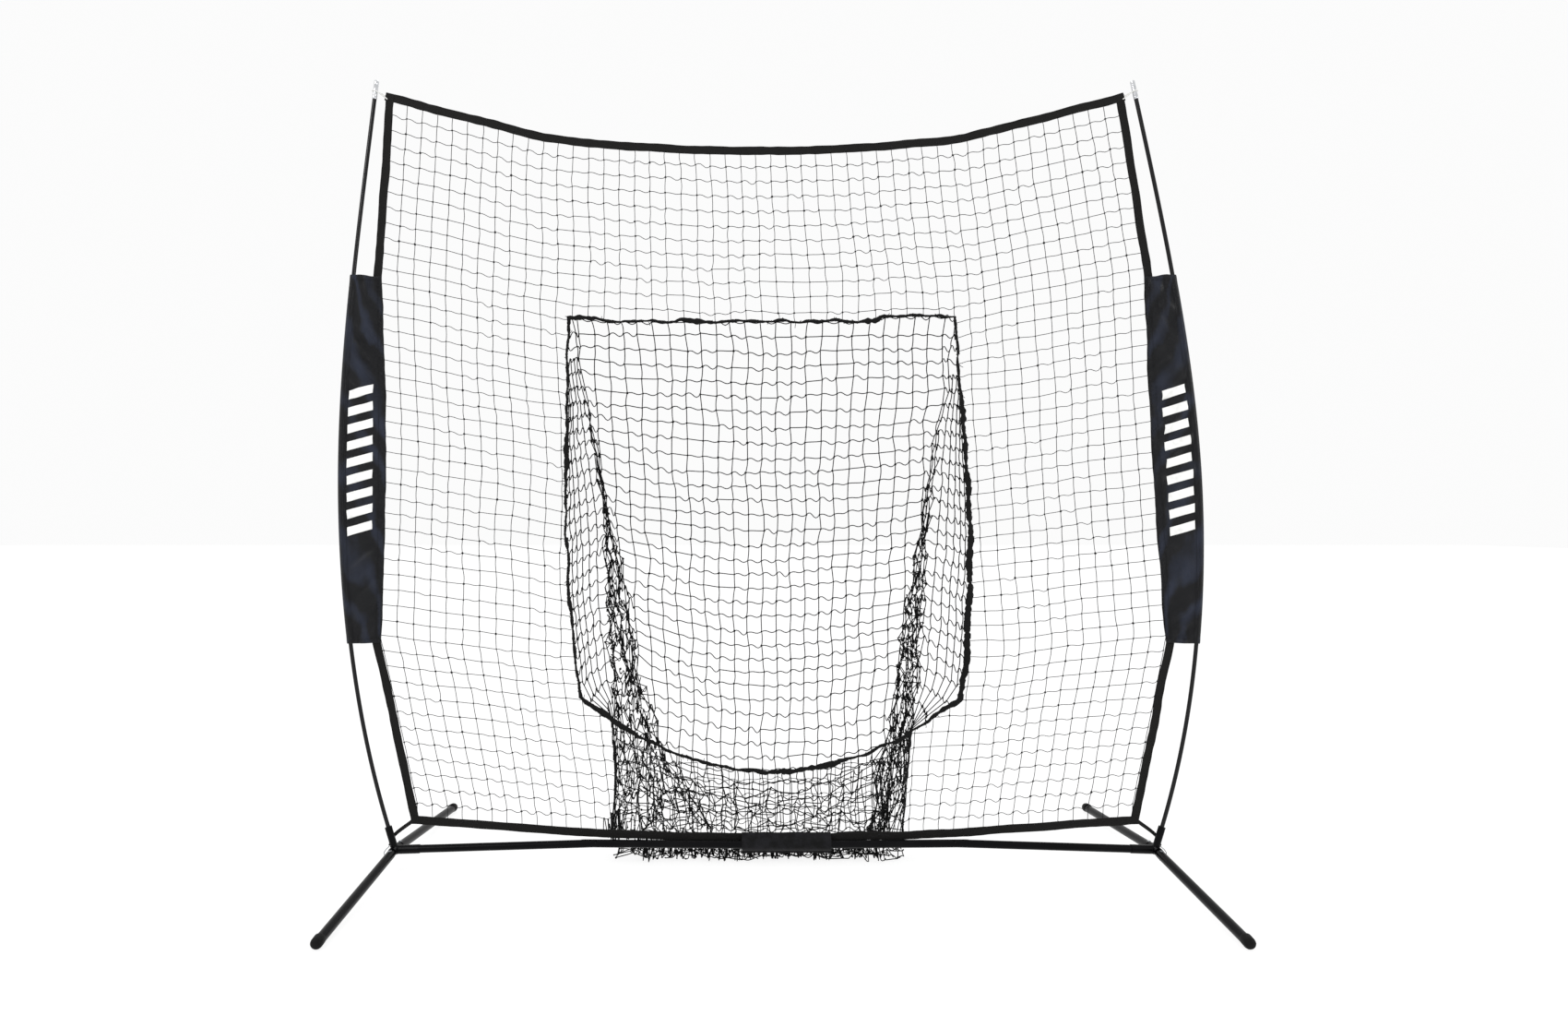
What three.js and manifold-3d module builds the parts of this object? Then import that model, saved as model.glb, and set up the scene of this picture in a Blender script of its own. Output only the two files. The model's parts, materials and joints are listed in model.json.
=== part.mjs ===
// Pitching target net: a bow-pole practice net with a strike-zone pocket, on a tube base with four
// folding feet. Millimetres, +Z up. The origin lies on the floor under the middle of the crossbar,
// +X runs along the crossbar and -Y faces the pitcher.
import * as THREE from "three";
import { mergeVertices } from "three/addons/utils/BufferGeometryUtils.js";
import Module from "manifold-3d";

const wasm = await Module();
wasm.setup();

// ---- driving dimensions -------------------------------------------------------------------
const GAP = 0.3; // between pieces that touch
const RUNNING_GAP = 0.08; // radial, between a turning piece and its pin
const SIDES = 16; // facets round a tube

// base
const HUB_HALF_SPAN = 1080; // crossbar middle to hub centre
const HUB_Z = 50; // hub centre above the floor
const FOOT_DIAMETER = 25;
const FOOT_WALL = 1.5;
const FOOT_REACH = 540; // hub centre to the outer end of the foot tube, along the floor
const FOOT_TOE_IN = THREE.MathUtils.degToRad(1);
const HUB_HALF_LENGTH = 26; // half of the short tube that the feet meet
const PIVOT_OFFSET = 42; // hub centre to a foot's rivet
const TONGUE_THICKNESS = 4;
const TONGUE_WIDTH = 18;
const SLOT_CLEARANCE = 0.5; // each side of the tongue
const RIVET_DIAMETER = 6;
const RIVET_HEAD_DIAMETER = 12;
const RIVET_HEAD_HEIGHT = 2.2;
const FOOT_CAP_WALL = 1.5;
const FOOT_CAP_LENGTH = 30;
const SOLE_DEPTH = 1.2; // how much of the round cap the flat sole takes away

// crossbar
const STUB_LENGTH = 70; // hub centre to the stub's mouth
const STUB_WALL = 1.2;
const CROSSBAR_DIAMETER = 22;
const CROSSBAR_WALL = 1.2;
const CROSSBAR_JOINT_X = 506;
const CROSSBAR_JOINT_Z = 68;
const CROSSBAR_MIDDLE_Z = 63.5;
const STUB_INSERT = 40; // how far a crossbar end sits inside its stub
const NOSE_LENGTH = 45; // swaged nose that enters the next tube
const BUTTON_DIAMETER = 6;
const BUTTON_PROUD = 2.5;
const BUTTON_FLANGE_DIAMETER = 8.4;
const BUTTON_FLANGE_HEIGHT = 1.2;

// poles
const POLE_DIAMETER = 11.4;
const SOCKET_WALL = 4;
const SOCKET_MOUTH_Z = 115;
const SOCKET_SLOPE = 0.3; // outward travel for each millimetre of height
const POLE_INSERT_Z = 74; // where the pole ends inside its socket
const BELLY_BULGE = 139.5; // how far the poles bow out past the hubs
const BELLY_Z = 1000;
const TIP_DRAW_IN = 7; // how far the tips come back inside the hubs
const TIP_Z = 2235;
const TIP_SLOPE = -0.17;
const LEAN = -59; // how far the tips stand to the left of the hubs
const LEAN_POWER = 1.8;
const FERRULE_WALL = 0.6;
const FERRULE_LENGTH = 70;
const TIP_CAP_WALL = 0.6;
const TIP_CAP_LENGTH = 54;

// net plane and hem tape
const NET_CLEARANCE = 3; // crossbar to the middle of the net's plane
const HEM_WIDTH = 24;
const HEM_THICKNESS = 2.6;
const NET_THICKNESS = 2;
// Corners and bends of the hem: distances from the middle are taken from the hubs.
const TOP_CORNER = { half: HUB_HALF_SPAN - 37, z: TIP_Z - 43 };
const UPPER_BEND = { half: HUB_HALF_SPAN + 20, z: TIP_Z - 554 };
const LOWER_BEND = { half: HUB_HALF_SPAN + 52, z: 636 };
const BOTTOM_HALF = HUB_HALF_SPAN - 52;
const POLE_JOINTS_Z = [LOWER_BEND.z + 164, UPPER_BEND.z - 211]; // inside the side panels' sleeves
const HEM_BOW = 10; // inward bow of the hem beside a side panel
const TOP_SAG = { flatHalf: 600, flatRise: 37, slope: 0.26 };
const BOTTOM_SAG = { flatHalf: 500, flatRise: 11, slope: 0.0725 };
const BOTTOM_HEM_RISE = 17.22; // middle of the crossbar to the middle of the bottom hem

// strike-zone opening and pocket
const OPENING_SHIFT = -9; // the opening's own offset to the left
const OPENING_TOP = { half: 553, z: 1565 };
const OPENING_CORNER = { half: 545, z: 480 };
const OPENING_BOTTOM_Z = 280;
const OPENING_BULGE = 28;
const RIM_WIDTH = 10;
const RIM_THICKNESS = 6;
const POCKET_THICKNESS = 2;
const POCKET_FRONT_Y = 22;
const POCKET_STATIONS = [
  { z: 1552, y: 30, half: 530 },
  { z: 1150, y: 105, half: 490 },
  { z: 700, y: 168, half: 420 },
  { z: 480, y: 190, half: 388 },
  { z: 300, y: 200, half: 372 },
  { z: 110, y: 192, half: 415 },
  { z: 18, y: 172, half: 425 },
];
const POCKET_SHIFT = -36; // the hanging bag sits to the left of the middle
const FLOOR_FRONT_Y = 66; // front edge of the bag's floor
const FLOOR_Z = 8;

// fabric
const PANEL_THICKNESS = 1;
const SLEEVE_CLEARANCE = 0.8; // round the poles' ferrules
const WRAP_LENGTH = 254;
const WRAP_THICKNESS = 2;
const WRAP_TAIL = 9.6; // where the wrap's two ends press together below the crossbar
const WRAP_CENTRE_X = 32;
const CORD_DIAMETER = 3;
const TIE_DIAMETER = 7;
const HOOK_WIRE = 2.2;

// ---- sizes that follow from them ------------------------------------------------------------
const STUB_DIAMETER = CROSSBAR_DIAMETER + 2 * (GAP + STUB_WALL);
const SOCKET_DIAMETER = POLE_DIAMETER + 2 * (GAP + SOCKET_WALL);
const BELLY_HALF_WIDTH = HUB_HALF_SPAN + BELLY_BULGE;
const TIP_HALF_WIDTH = HUB_HALF_SPAN - TIP_DRAW_IN;
const FERRULE_DIAMETER = POLE_DIAMETER + 2 * (2 * GAP + FERRULE_WALL);
const TIP_CAP_DIAMETER = POLE_DIAMETER + 2 * (GAP + TIP_CAP_WALL);
const NET_Y = CROSSBAR_DIAMETER / 2 + NET_CLEARANCE;
const SLEEVE_RADIUS = FERRULE_DIAMETER / 2 + SLEEVE_CLEARANCE + PANEL_THICKNESS;

// ---- geometry helpers ---------------------------------------------------------------------
const X = new THREE.Vector3(1, 0, 0);
const Y = new THREE.Vector3(0, 1, 0);
const Z = new THREE.Vector3(0, 0, 1);
const vec = (x, y, z) => new THREE.Vector3(x, y, z);
const sides = { left: -1, right: 1 };

// Turns a geometry's faces outward, whatever order its points were given in.
function outward(geometry) {
  const merged = geometry.index ? geometry : mergeVertices(positionsOnly(geometry));
  const p = merged.attributes.position;
  const index = merged.index.array;
  const corner = [vec(0, 0, 0), vec(0, 0, 0), vec(0, 0, 0)];
  let volume = 0;
  for (let i = 0; i < index.length; i += 3) {
    corner.forEach((c, k) => c.fromBufferAttribute(p, index[i + k]));
    volume += corner[0].dot(corner[1].clone().cross(corner[2]));
  }
  if (volume < 0) {
    for (let i = 0; i < index.length; i += 3) {
      [index[i], index[i + 1]] = [index[i + 1], index[i]];
    }
  }
  return merged;
}

function positionsOnly(geometry) {
  const bare = geometry.clone();
  for (const name of Object.keys(bare.attributes)) {
    if (name !== "position") bare.deleteAttribute(name);
  }
  return bare;
}

function toSolid(geometry) {
  const merged = outward(mergeVertices(positionsOnly(geometry), 1e-4));
  return new wasm.Manifold(
    new wasm.Mesh({
      numProp: 3,
      vertProperties: new Float32Array(merged.attributes.position.array),
      triVerts: new Uint32Array(merged.index.array),
    }),
  );
}

function toGeometry(solid) {
  const mesh = solid.getMesh();
  const geometry = new THREE.BufferGeometry();
  geometry.setAttribute("position", new THREE.BufferAttribute(mesh.vertProperties, 3));
  geometry.setIndex(new THREE.BufferAttribute(mesh.triVerts, 1));
  return geometry;
}

// Moves a shape made along +Y so that it starts at a point and runs in a direction.
function aim(geometry, from, direction) {
  const turn = new THREE.Quaternion().setFromUnitVectors(Y, direction.clone().normalize());
  return geometry.applyQuaternion(turn).translate(from.x, from.y, from.z);
}

// A turned body from [radius, height] pairs, along +Y.
function turned(profile, segments = SIDES) {
  return new THREE.LatheGeometry(
    profile.map(([r, h]) => new THREE.Vector2(r, h)),
    segments,
  );
}

const rod = (radius, length) => turned([[0, 0], [radius, 0], [radius, length], [0, length]]);

const pipe = (outer, inner, length) =>
  turned([[inner, 0], [outer, 0], [outer, length], [inner, length], [inner, 0]]);

const rodSolid = (radius, from, to) =>
  toSolid(aim(rod(radius, from.distanceTo(to)), from, to.clone().sub(from)));

const pipeSolid = (outer, inner, from, to) =>
  toSolid(aim(pipe(outer, inner, from.distanceTo(to)), from, to.clone().sub(from)));

const boxSolid = (sx, sy, sz, x, y, z) =>
  toSolid(new THREE.BoxGeometry(sx, sy, sz).translate(x, y, z));

// The corner radius of a faceted hole whose flats stay a given clearance from a round pin.
const holeRadius = (radius, clearance) => (radius + clearance) / Math.cos(Math.PI / SIDES);

// A flat plate standing in the XZ plane, from an outline of [x, z] points and holes like it.
function plate(outline, y, thickness, holes = []) {
  const toPoints = (loop) => loop.map(([x, z]) => new THREE.Vector2(x, z));
  const shape = new THREE.Shape(toPoints(outline));
  holes.forEach((loop) => shape.holes.push(new THREE.Path(toPoints(loop))));
  const body = new THREE.ExtrudeGeometry(shape, { depth: thickness, bevelEnabled: false });
  return body.rotateX(Math.PI / 2).translate(0, y + thickness / 2, 0);
}

// A closed body through cross-sections, each a loop with the same number of points.
function loft(sections) {
  const count = sections[0].length;
  const positions = sections.flat().flatMap((p) => [p.x, p.y, p.z]);
  const index = [];
  for (let s = 0; s + 1 < sections.length; s += 1) {
    for (let i = 0; i < count; i += 1) {
      const a = s * count + i;
      const b = s * count + ((i + 1) % count);
      // Opposite faces split along the same diagonal, so a twisted sheet keeps its thickness.
      if (i < count / 2) index.push(a, b, b + count, a, b + count, a + count);
      else index.push(a, b, a + count, b, b + count, a + count);
    }
  }
  const caps = THREE.ShapeUtils.triangulateShape(flatten(sections[0]), []);
  const last = (sections.length - 1) * count;
  caps.forEach(([a, b, c]) => index.push(a, c, b, last + a, last + b, last + c));
  const geometry = new THREE.BufferGeometry();
  geometry.setAttribute("position", new THREE.Float32BufferAttribute(positions, 3));
  geometry.setIndex(index);
  return outward(geometry);
}

// A section's points in its own plane, wound the way the triangulator expects.
function flatten(section) {
  const origin = section[0];
  const along = section[1].clone().sub(origin).normalize();
  const normal = vec(0, 0, 0);
  section.forEach((p, i) => {
    normal.add(p.clone().sub(origin).cross(section[(i + 1) % section.length].clone().sub(origin)));
  });
  const across = normal.normalize().cross(along);
  return section.map((p) => {
    const d = p.clone().sub(origin);
    return new THREE.Vector2(d.dot(along), d.dot(across));
  });
}

// A sheet of even thickness between two edges, given as level pairs of points.
function sheet(pairs, thickness) {
  return loft(
    pairs.map(([a, b]) => {
      const half = vec(a.y - b.y, b.x - a.x, 0).setLength(thickness / 2);
      return [
        a.clone().sub(half),
        b.clone().sub(half),
        b.clone().add(half),
        a.clone().add(half),
      ];
    }),
  );
}

// A round bar along a curve.
function barAlong(curve, radius, steps, facets) {
  const ring = [];
  for (let i = 0; i < facets; i += 1) {
    const angle = (2 * Math.PI * i) / facets;
    ring.push(new THREE.Vector2(radius * Math.cos(angle), radius * Math.sin(angle)));
  }
  const options = { steps, bevelEnabled: false, extrudePath: curve };
  return new THREE.ExtrudeGeometry(new THREE.Shape(ring), options);
}

const steps = (from, to, count) =>
  Array.from({ length: count + 1 }, (_, i) => from + ((to - from) * i) / count);

// ---- materials and the assembly -----------------------------------------------------------
const looks = {
  steel: { color: 0x1b1b1c, roughness: 0.35, metalness: 0.3 },
  rubber: { color: 0x161616, roughness: 0.75, metalness: 0 },
  zinc: { color: 0x8d8f92, roughness: 0.35, metalness: 0.9 },
  fibreglass: { color: 0x17181a, roughness: 0.22, metalness: 0 },
  nickel: { color: 0xc9ccd0, roughness: 0.15, metalness: 1 },
  tape: { color: 0x1a1a1b, roughness: 0.85, metalness: 0 },
  twine: { color: 0x2b2b2c, roughness: 0.9, metalness: 0 },
  oxford: { color: 0x17181c, roughness: 0.7, metalness: 0 },
  loopFabric: { color: 0x1d1d1e, roughness: 0.95, metalness: 0 },
  elastic: { color: 0x191919, roughness: 0.85, metalness: 0 },
  whiteElastic: { color: 0xe9e9e6, roughness: 0.8, metalness: 0 },
};

const group = new THREE.Group();
group.name = "pitching_target_net";

function addPiece(name, look, shape) {
  const geometry = shape instanceof wasm.Manifold ? toGeometry(shape) : shape;
  const mesh = new THREE.Mesh(geometry, new THREE.MeshStandardMaterial(looks[look]));
  mesh.name = name;
  group.add(mesh);
}

// ---- outlines shared by several pieces ----------------------------------------------------
// Sideways lean of the whole net at a height.
function lean(z) {
  const rise = Math.max(0, z - SOCKET_MOUTH_Z) / (TIP_Z - SOCKET_MOUTH_Z);
  return LEAN * rise ** LEAN_POWER;
}

// One end-to-end cubic with a start and end value and slope.
function hermite(t, span, start, startSlope, end, endSlope) {
  const t2 = t * t;
  const t3 = t2 * t;
  return (
    (2 * t3 - 3 * t2 + 1) * start +
    (t3 - 2 * t2 + t) * span * startSlope +
    (3 * t2 - 2 * t3) * end +
    (t3 - t2) * span * endSlope
  );
}

const socketHalf = (z) => HUB_HALF_SPAN + (z - HUB_Z) * SOCKET_SLOPE;

// Distance of a pole's centre line from the middle plane, before the lean.
function poleHalf(z) {
  if (z <= SOCKET_MOUTH_Z) return socketHalf(z);
  if (z <= BELLY_Z) {
    const span = BELLY_Z - SOCKET_MOUTH_Z;
    const start = socketHalf(SOCKET_MOUTH_Z);
    return hermite((z - SOCKET_MOUTH_Z) / span, span, start, SOCKET_SLOPE, BELLY_HALF_WIDTH, 0);
  }
  const span = TIP_Z - BELLY_Z;
  return hermite((z - BELLY_Z) / span, span, BELLY_HALF_WIDTH, 0, TIP_HALF_WIDTH, TIP_SLOPE);
}

const poleX = (side, z) => side * poleHalf(z) + lean(z);

class PoleCurve extends THREE.Curve {
  constructor(side, fromZ, toZ) {
    super();
    Object.assign(this, { side, fromZ, toZ });
  }

  getPoint(t, target = new THREE.Vector3()) {
    const z = this.fromZ + (this.toZ - this.fromZ) * t;
    return target.set(poleX(this.side, z), 0, z);
  }
}

// Height above the lowest point of a hem that hangs in a shallow curve with straight ends.
function sagRise(sag, x) {
  const distance = Math.abs(x);
  const flat = Math.min(distance, sag.flatHalf) / sag.flatHalf;
  return sag.flatRise * flat * flat + sag.slope * Math.max(0, distance - sag.flatHalf);
}

const topHemZ = (x) =>
  TOP_CORNER.z - sagRise(TOP_SAG, TOP_CORNER.half) + sagRise(TOP_SAG, x - lean(TOP_CORNER.z));

const bottomHemZ = (x) => CROSSBAR_MIDDLE_Z + BOTTOM_HEM_RISE + sagRise(BOTTOM_SAG, x);
const BOTTOM_CORNER = { half: BOTTOM_HALF, z: bottomHemZ(BOTTOM_HALF) };

// Distance of the side hem's centre line from the middle plane, before the lean.
function hemHalf(z) {
  const between = (low, high) =>
    THREE.MathUtils.mapLinear(z, low.z, high.z, low.half, high.half);
  if (z < LOWER_BEND.z) return between(BOTTOM_CORNER, LOWER_BEND);
  if (z > UPPER_BEND.z) return between(UPPER_BEND, TOP_CORNER);
  const t = (z - LOWER_BEND.z) / (UPPER_BEND.z - LOWER_BEND.z);
  return between(LOWER_BEND, UPPER_BEND) - HEM_BOW * Math.sin(Math.PI * t);
}

const hemX = (side, z) => side * hemHalf(z) + lean(z);

// Stations along a level hem between two ends. Every piece beside that hem shares them, and its two
// bends are among them, so the edges of neighbours stay parallel.
function hemStations(sag, shift, from, to) {
  const pitch = sag.flatHalf / 8;
  const low = Math.min(from, to);
  const high = Math.max(from, to);
  const first = Math.ceil((low - shift) / pitch);
  const last = Math.floor((high - shift) / pitch);
  const inside = steps(first, last, last - first).map((k) => k * pitch + shift);
  return [low, ...inside.filter((x) => x > low + 1 && x < high - 1), high];
}

const topStations = (from, to) => hemStations(TOP_SAG, lean(TOP_CORNER.z), from, to);
const bottomStations = (from, to) => hemStations(BOTTOM_SAG, 0, from, to);
const sideStations = steps(LOWER_BEND.z, UPPER_BEND.z, 10);
const hemSideStations = [...sideStations, ...steps(UPPER_BEND.z, TOP_CORNER.z, 5).slice(1, -1)];

// The strike-zone opening: nearly straight sides, two low corners and a round bottom.
const openingShift = (z) => lean(z) + OPENING_SHIFT;

function openingX(side, z) {
  const t = (OPENING_TOP.z - z) / (OPENING_TOP.z - OPENING_CORNER.z);
  const straight = THREE.MathUtils.lerp(OPENING_TOP.half, OPENING_CORNER.half, t);
  return side * (straight + OPENING_BULGE * Math.sin(Math.PI * t ** 1.3)) + openingShift(z);
}

function openingBottomZ(x) {
  const t = (x - openingShift(OPENING_CORNER.z)) / OPENING_CORNER.half;
  return OPENING_BOTTOM_Z + (OPENING_CORNER.z - OPENING_BOTTOM_Z) * t * t;
}

const openingStations = steps(
  openingX(-1, OPENING_CORNER.z),
  openingX(1, OPENING_CORNER.z),
  12,
);

// The opening's centre line, moved outward by an offset, as a closed loop of [x, z].
function openingLoop(offset) {
  const topZ = OPENING_TOP.z + offset;
  const heights = steps(OPENING_TOP.z, OPENING_CORNER.z, 8);
  const left = heights.map((z, i) => [openingX(-1, z) - offset, i === 0 ? topZ : z]);
  const right = heights.map((z, i) => [openingX(1, z) + offset, i === 0 ? topZ : z]).reverse();
  const bottom = openingStations.slice(1, -1).map((x) => [x, openingBottomZ(x) - offset]);
  return [...left, ...bottom, ...right];
}

// ---- base: hubs, feet and crossbar --------------------------------------------------------
const FOOT_RADIUS = FOOT_DIAMETER / 2;
const CAP_RADIUS = FOOT_RADIUS + GAP + FOOT_CAP_WALL;
const CROSSBAR_RADIUS = CROSSBAR_DIAMETER / 2;
const CROSSBAR_BORE = CROSSBAR_RADIUS - CROSSBAR_WALL;
const NOSE_RADIUS = CROSSBAR_BORE * Math.cos(Math.PI / SIDES) - GAP;
const NOSE_BORE = NOSE_RADIUS - CROSSBAR_WALL;
// A foot drops from the hub until its cap's sole lies on the floor.
const FOOT_SLOPE = Math.atan((HUB_Z - CAP_RADIUS + SOLE_DEPTH) / FOOT_REACH);
const RIVET_RADIUS = RIVET_DIAMETER / 2;
const FOOT_END_ROUND = PIVOT_OFFSET - HUB_HALF_LENGTH - 1.5; // inner end turns clear of the hub

const hubCentre = (side) => vec(side * HUB_HALF_SPAN, 0, HUB_Z);
const crossbarJoint = (side) => vec(side * CROSSBAR_JOINT_X, 0, CROSSBAR_JOINT_Z);
const stubDirection = (side) => crossbarJoint(side).sub(hubCentre(side)).normalize();
const socketDirection = (side) => vec(side * SOCKET_SLOPE, 0, 1).normalize();
const along = (start, direction, distance) =>
  start.clone().addScaledVector(direction, distance);

// A foot's own frame: origin at the rivet, +Y outward along the foot, +Z along the rivet.
// facing is -1 for a front foot and 1 for a rear one.
function footFrame(side, facing, toeIn = 0) {
  const outwardDirection = vec(0, facing * Math.cos(FOOT_SLOPE), -Math.sin(FOOT_SLOPE));
  const axis = vec(0, facing * Math.sin(FOOT_SLOPE), Math.cos(FOOT_SLOPE));
  const across = outwardDirection.clone().cross(axis);
  const pivot = along(hubCentre(side), outwardDirection, PIVOT_OFFSET);
  const matrix = new THREE.Matrix4().makeBasis(across, outwardDirection, axis);
  matrix.setPosition(pivot);
  const turn = new THREE.Matrix4().makeRotationZ(side * facing * toeIn);
  return matrix.multiply(turn);
}

const place = (solid, matrix) => solid.transform(matrix.toArray());

const tongueHole = () =>
  rodSolid(holeRadius(RIVET_RADIUS, RUNNING_GAP), vec(0, 0, -30), vec(0, 0, 30));

// A flat tongue with a round end, welded into the hub and riveted to the foot.
function tongue() {
  const half = vec(0, 0, TONGUE_THICKNESS / 2);
  const end = rodSolid(TONGUE_WIDTH / 2, half.clone().negate(), half);
  const length = PIVOT_OFFSET - HUB_HALF_LENGTH + 8;
  const neck = boxSolid(TONGUE_WIDTH, length, TONGUE_THICKNESS, 0, -length / 2, 0);
  return neck.add(end).subtract(tongueHole());
}

// The welded corner: a short tube for the feet, a stub for the crossbar and a socket for the pole.
function hubBracket(side) {
  const centre = hubCentre(side);
  const stub = stubDirection(side);
  const socket = socketDirection(side);
  const mouth = vec(side * socketHalf(SOCKET_MOUTH_Z), 0, SOCKET_MOUTH_Z);
  const halfLength = vec(0, HUB_HALF_LENGTH, 0);
  let solid = rodSolid(FOOT_RADIUS, centre.clone().sub(halfLength), centre.clone().add(halfLength));
  solid = solid.add(rodSolid(STUB_DIAMETER / 2, centre, along(centre, stub, STUB_LENGTH)));
  solid = solid.add(rodSolid(SOCKET_DIAMETER / 2, centre, mouth));
  const stubBore = holeRadius(CROSSBAR_RADIUS, GAP);
  const stubFloor = STUB_LENGTH - STUB_INSERT - GAP;
  solid = solid.subtract(
    rodSolid(stubBore, along(centre, stub, stubFloor), along(centre, stub, STUB_LENGTH + 5)),
  );
  const poleFoot = vec(side * socketHalf(POLE_INSERT_Z - GAP), 0, POLE_INSERT_Z - GAP);
  solid = solid.subtract(
    rodSolid(holeRadius(POLE_DIAMETER / 2, GAP), poleFoot, along(mouth, socket, 5)),
  );
  solid = solid.subtract(buttonHole(stubButtonPoint(side)));
  for (const facing of [-1, 1]) {
    solid = solid.add(place(tongue(), footFrame(side, facing)));
    solid = solid.subtract(place(tongueHole(), footFrame(side, facing)));
  }
  return solid;
}

// A foot: a tube whose inner end is rounded and slotted to fold about the tongue.
const FOOT_TUBE_END = FOOT_REACH / Math.cos(FOOT_SLOPE) - PIVOT_OFFSET;

function footTube() {
  const slotHeight = TONGUE_THICKNESS + 2 * SLOT_CLEARANCE;
  const slotEnd = TONGUE_WIDTH / 2 + 4;
  const slotLength = slotEnd + FOOT_DIAMETER;
  const outerEndPoint = vec(0, FOOT_TUBE_END, 0);
  const inside = FOOT_RADIUS - FOOT_WALL;
  let solid = pipeSolid(FOOT_RADIUS, inside, vec(0, -FOOT_RADIUS, 0), outerEndPoint);
  const rounding = rodSolid(FOOT_END_ROUND, vec(0, 0, -FOOT_DIAMETER), vec(0, 0, FOOT_DIAMETER));
  const wide = 2 * FOOT_DIAMETER;
  const beyond = boxSolid(wide, FOOT_TUBE_END + 10, wide, 0, FOOT_TUBE_END / 2 + 5, 0);
  solid = solid.intersect(rounding.add(beyond));
  const slot = boxSolid(wide, slotLength, slotHeight, 0, slotEnd - slotLength / 2, 0);
  return solid.subtract(slot).subtract(tongueHole());
}

// A moulded cap over the tube's outer end, domed at the end and flat where it meets the floor.
function footCap(matrix) {
  const bore = FOOT_RADIUS + GAP;
  const dome = 6;
  const start = FOOT_TUBE_END - FOOT_CAP_LENGTH + dome + 2;
  const profile = [
    [bore, 0],
    [CAP_RADIUS, 0],
    [CAP_RADIUS, FOOT_CAP_LENGTH - dome],
    [CAP_RADIUS * 0.82, FOOT_CAP_LENGTH - dome * 0.35],
    [CAP_RADIUS * 0.45, FOOT_CAP_LENGTH],
    [0, FOOT_CAP_LENGTH],
    [0, FOOT_CAP_LENGTH - dome - 2 + GAP],
    [bore, FOOT_CAP_LENGTH - dome - 2 + GAP],
    [bore, 0],
  ];
  const cup = place(toSolid(aim(turned(profile), vec(0, start, 0), Y)), matrix);
  const floor = boxSolid(6 * HUB_HALF_SPAN, 6 * FOOT_REACH, 200, 0, 0, -100);
  return cup.subtract(floor);
}

function footRivet() {
  const under = FOOT_RADIUS + GAP;
  const top = under + RIVET_HEAD_HEIGHT;
  const head = RIVET_HEAD_DIAMETER / 2;
  const profile = [
    [0, -top],
    [head * 0.6, -top],
    [head, -under],
    [RIVET_RADIUS, -under],
    [RIVET_RADIUS, under],
    [head, under],
    [head * 0.6, top],
    [0, top],
  ];
  return toSolid(turned(profile).rotateX(Math.PI / 2));
}

// The spring buttons press in along -Y, from the back of the tube.
const buttonHole = (point) =>
  rodSolid(BUTTON_DIAMETER / 2 + GAP, point, point.clone().add(vec(0, 2 * CROSSBAR_RADIUS, 0)));

const stubButtonPoint = (side) =>
  along(hubCentre(side), stubDirection(side), STUB_LENGTH - STUB_INSERT / 2);

const jointButtonPoint = (side) => along(crossbarJoint(side), stubDirection(side), -NOSE_LENGTH / 2);

// wallRadius is the inside of the tube the flange rests in, and outerRadius the skin it clears.
function springButton(point, wallRadius, outerRadius) {
  const flange = BUTTON_FLANGE_DIAMETER / 2;
  const inner = wallRadius * Math.cos(Math.PI / SIDES);
  const seat = Math.sqrt(inner ** 2 - flange ** 2) - GAP;
  const radius = BUTTON_DIAMETER / 2;
  const top = outerRadius + BUTTON_PROUD;
  const profile = [
    [0, seat - BUTTON_FLANGE_HEIGHT],
    [flange, seat - BUTTON_FLANGE_HEIGHT],
    [flange, seat],
    [radius, seat],
    [radius, top - 1.4],
    [radius * 0.72, top - 0.4],
    [0, top],
  ];
  return aim(turned(profile), point, Y);
}

const outerEnd = (side) =>
  along(hubCentre(side), stubDirection(side), STUB_LENGTH - STUB_INSERT);

function crossbarOuter(side) {
  const jointEnd = along(crossbarJoint(side), stubDirection(side), -GAP);
  return pipeSolid(CROSSBAR_RADIUS, CROSSBAR_BORE, outerEnd(side), jointEnd)
    .subtract(buttonHole(stubButtonPoint(side)))
    .subtract(buttonHole(jointButtonPoint(side)));
}

// Runs from the middle of the crossbar to the outer joint, with a swaged nose in the outer tube.
function crossbarInner(side) {
  const joint = crossbarJoint(side);
  const middle = vec(0, 0, CROSSBAR_MIDDLE_Z);
  const outwardDirection = joint.clone().sub(middle).normalize();
  const start = along(middle, outwardDirection, GAP);
  const shoulder = along(joint, outwardDirection, -1.2);
  let solid = pipeSolid(CROSSBAR_RADIUS, CROSSBAR_BORE, start, shoulder);
  solid = solid.add(
    pipeSolid(CROSSBAR_RADIUS, NOSE_BORE, along(shoulder, outwardDirection, -4), shoulder),
  );
  const nose = stubDirection(side).negate();
  const noseStart = along(joint, nose, -3);
  solid = solid.add(pipeSolid(NOSE_RADIUS, NOSE_BORE, noseStart, along(joint, nose, NOSE_LENGTH)));
  return solid.subtract(buttonHole(jointButtonPoint(side)));
}

// A short steel spigot that joins the two inner tubes under the fabric wrap.
function middleSpigot() {
  const half = NOSE_LENGTH;
  const radius = NOSE_RADIUS - 0.5;
  const pair = Object.values(sides).map((side) => {
    const end = crossbarJoint(side).sub(vec(0, 0, CROSSBAR_MIDDLE_Z)).normalize();
    const middle = vec(0, 0, CROSSBAR_MIDDLE_Z);
    return pipeSolid(radius, radius - CROSSBAR_WALL, middle, along(middle, end, half));
  });
  return pair[0].add(pair[1]);
}

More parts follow.
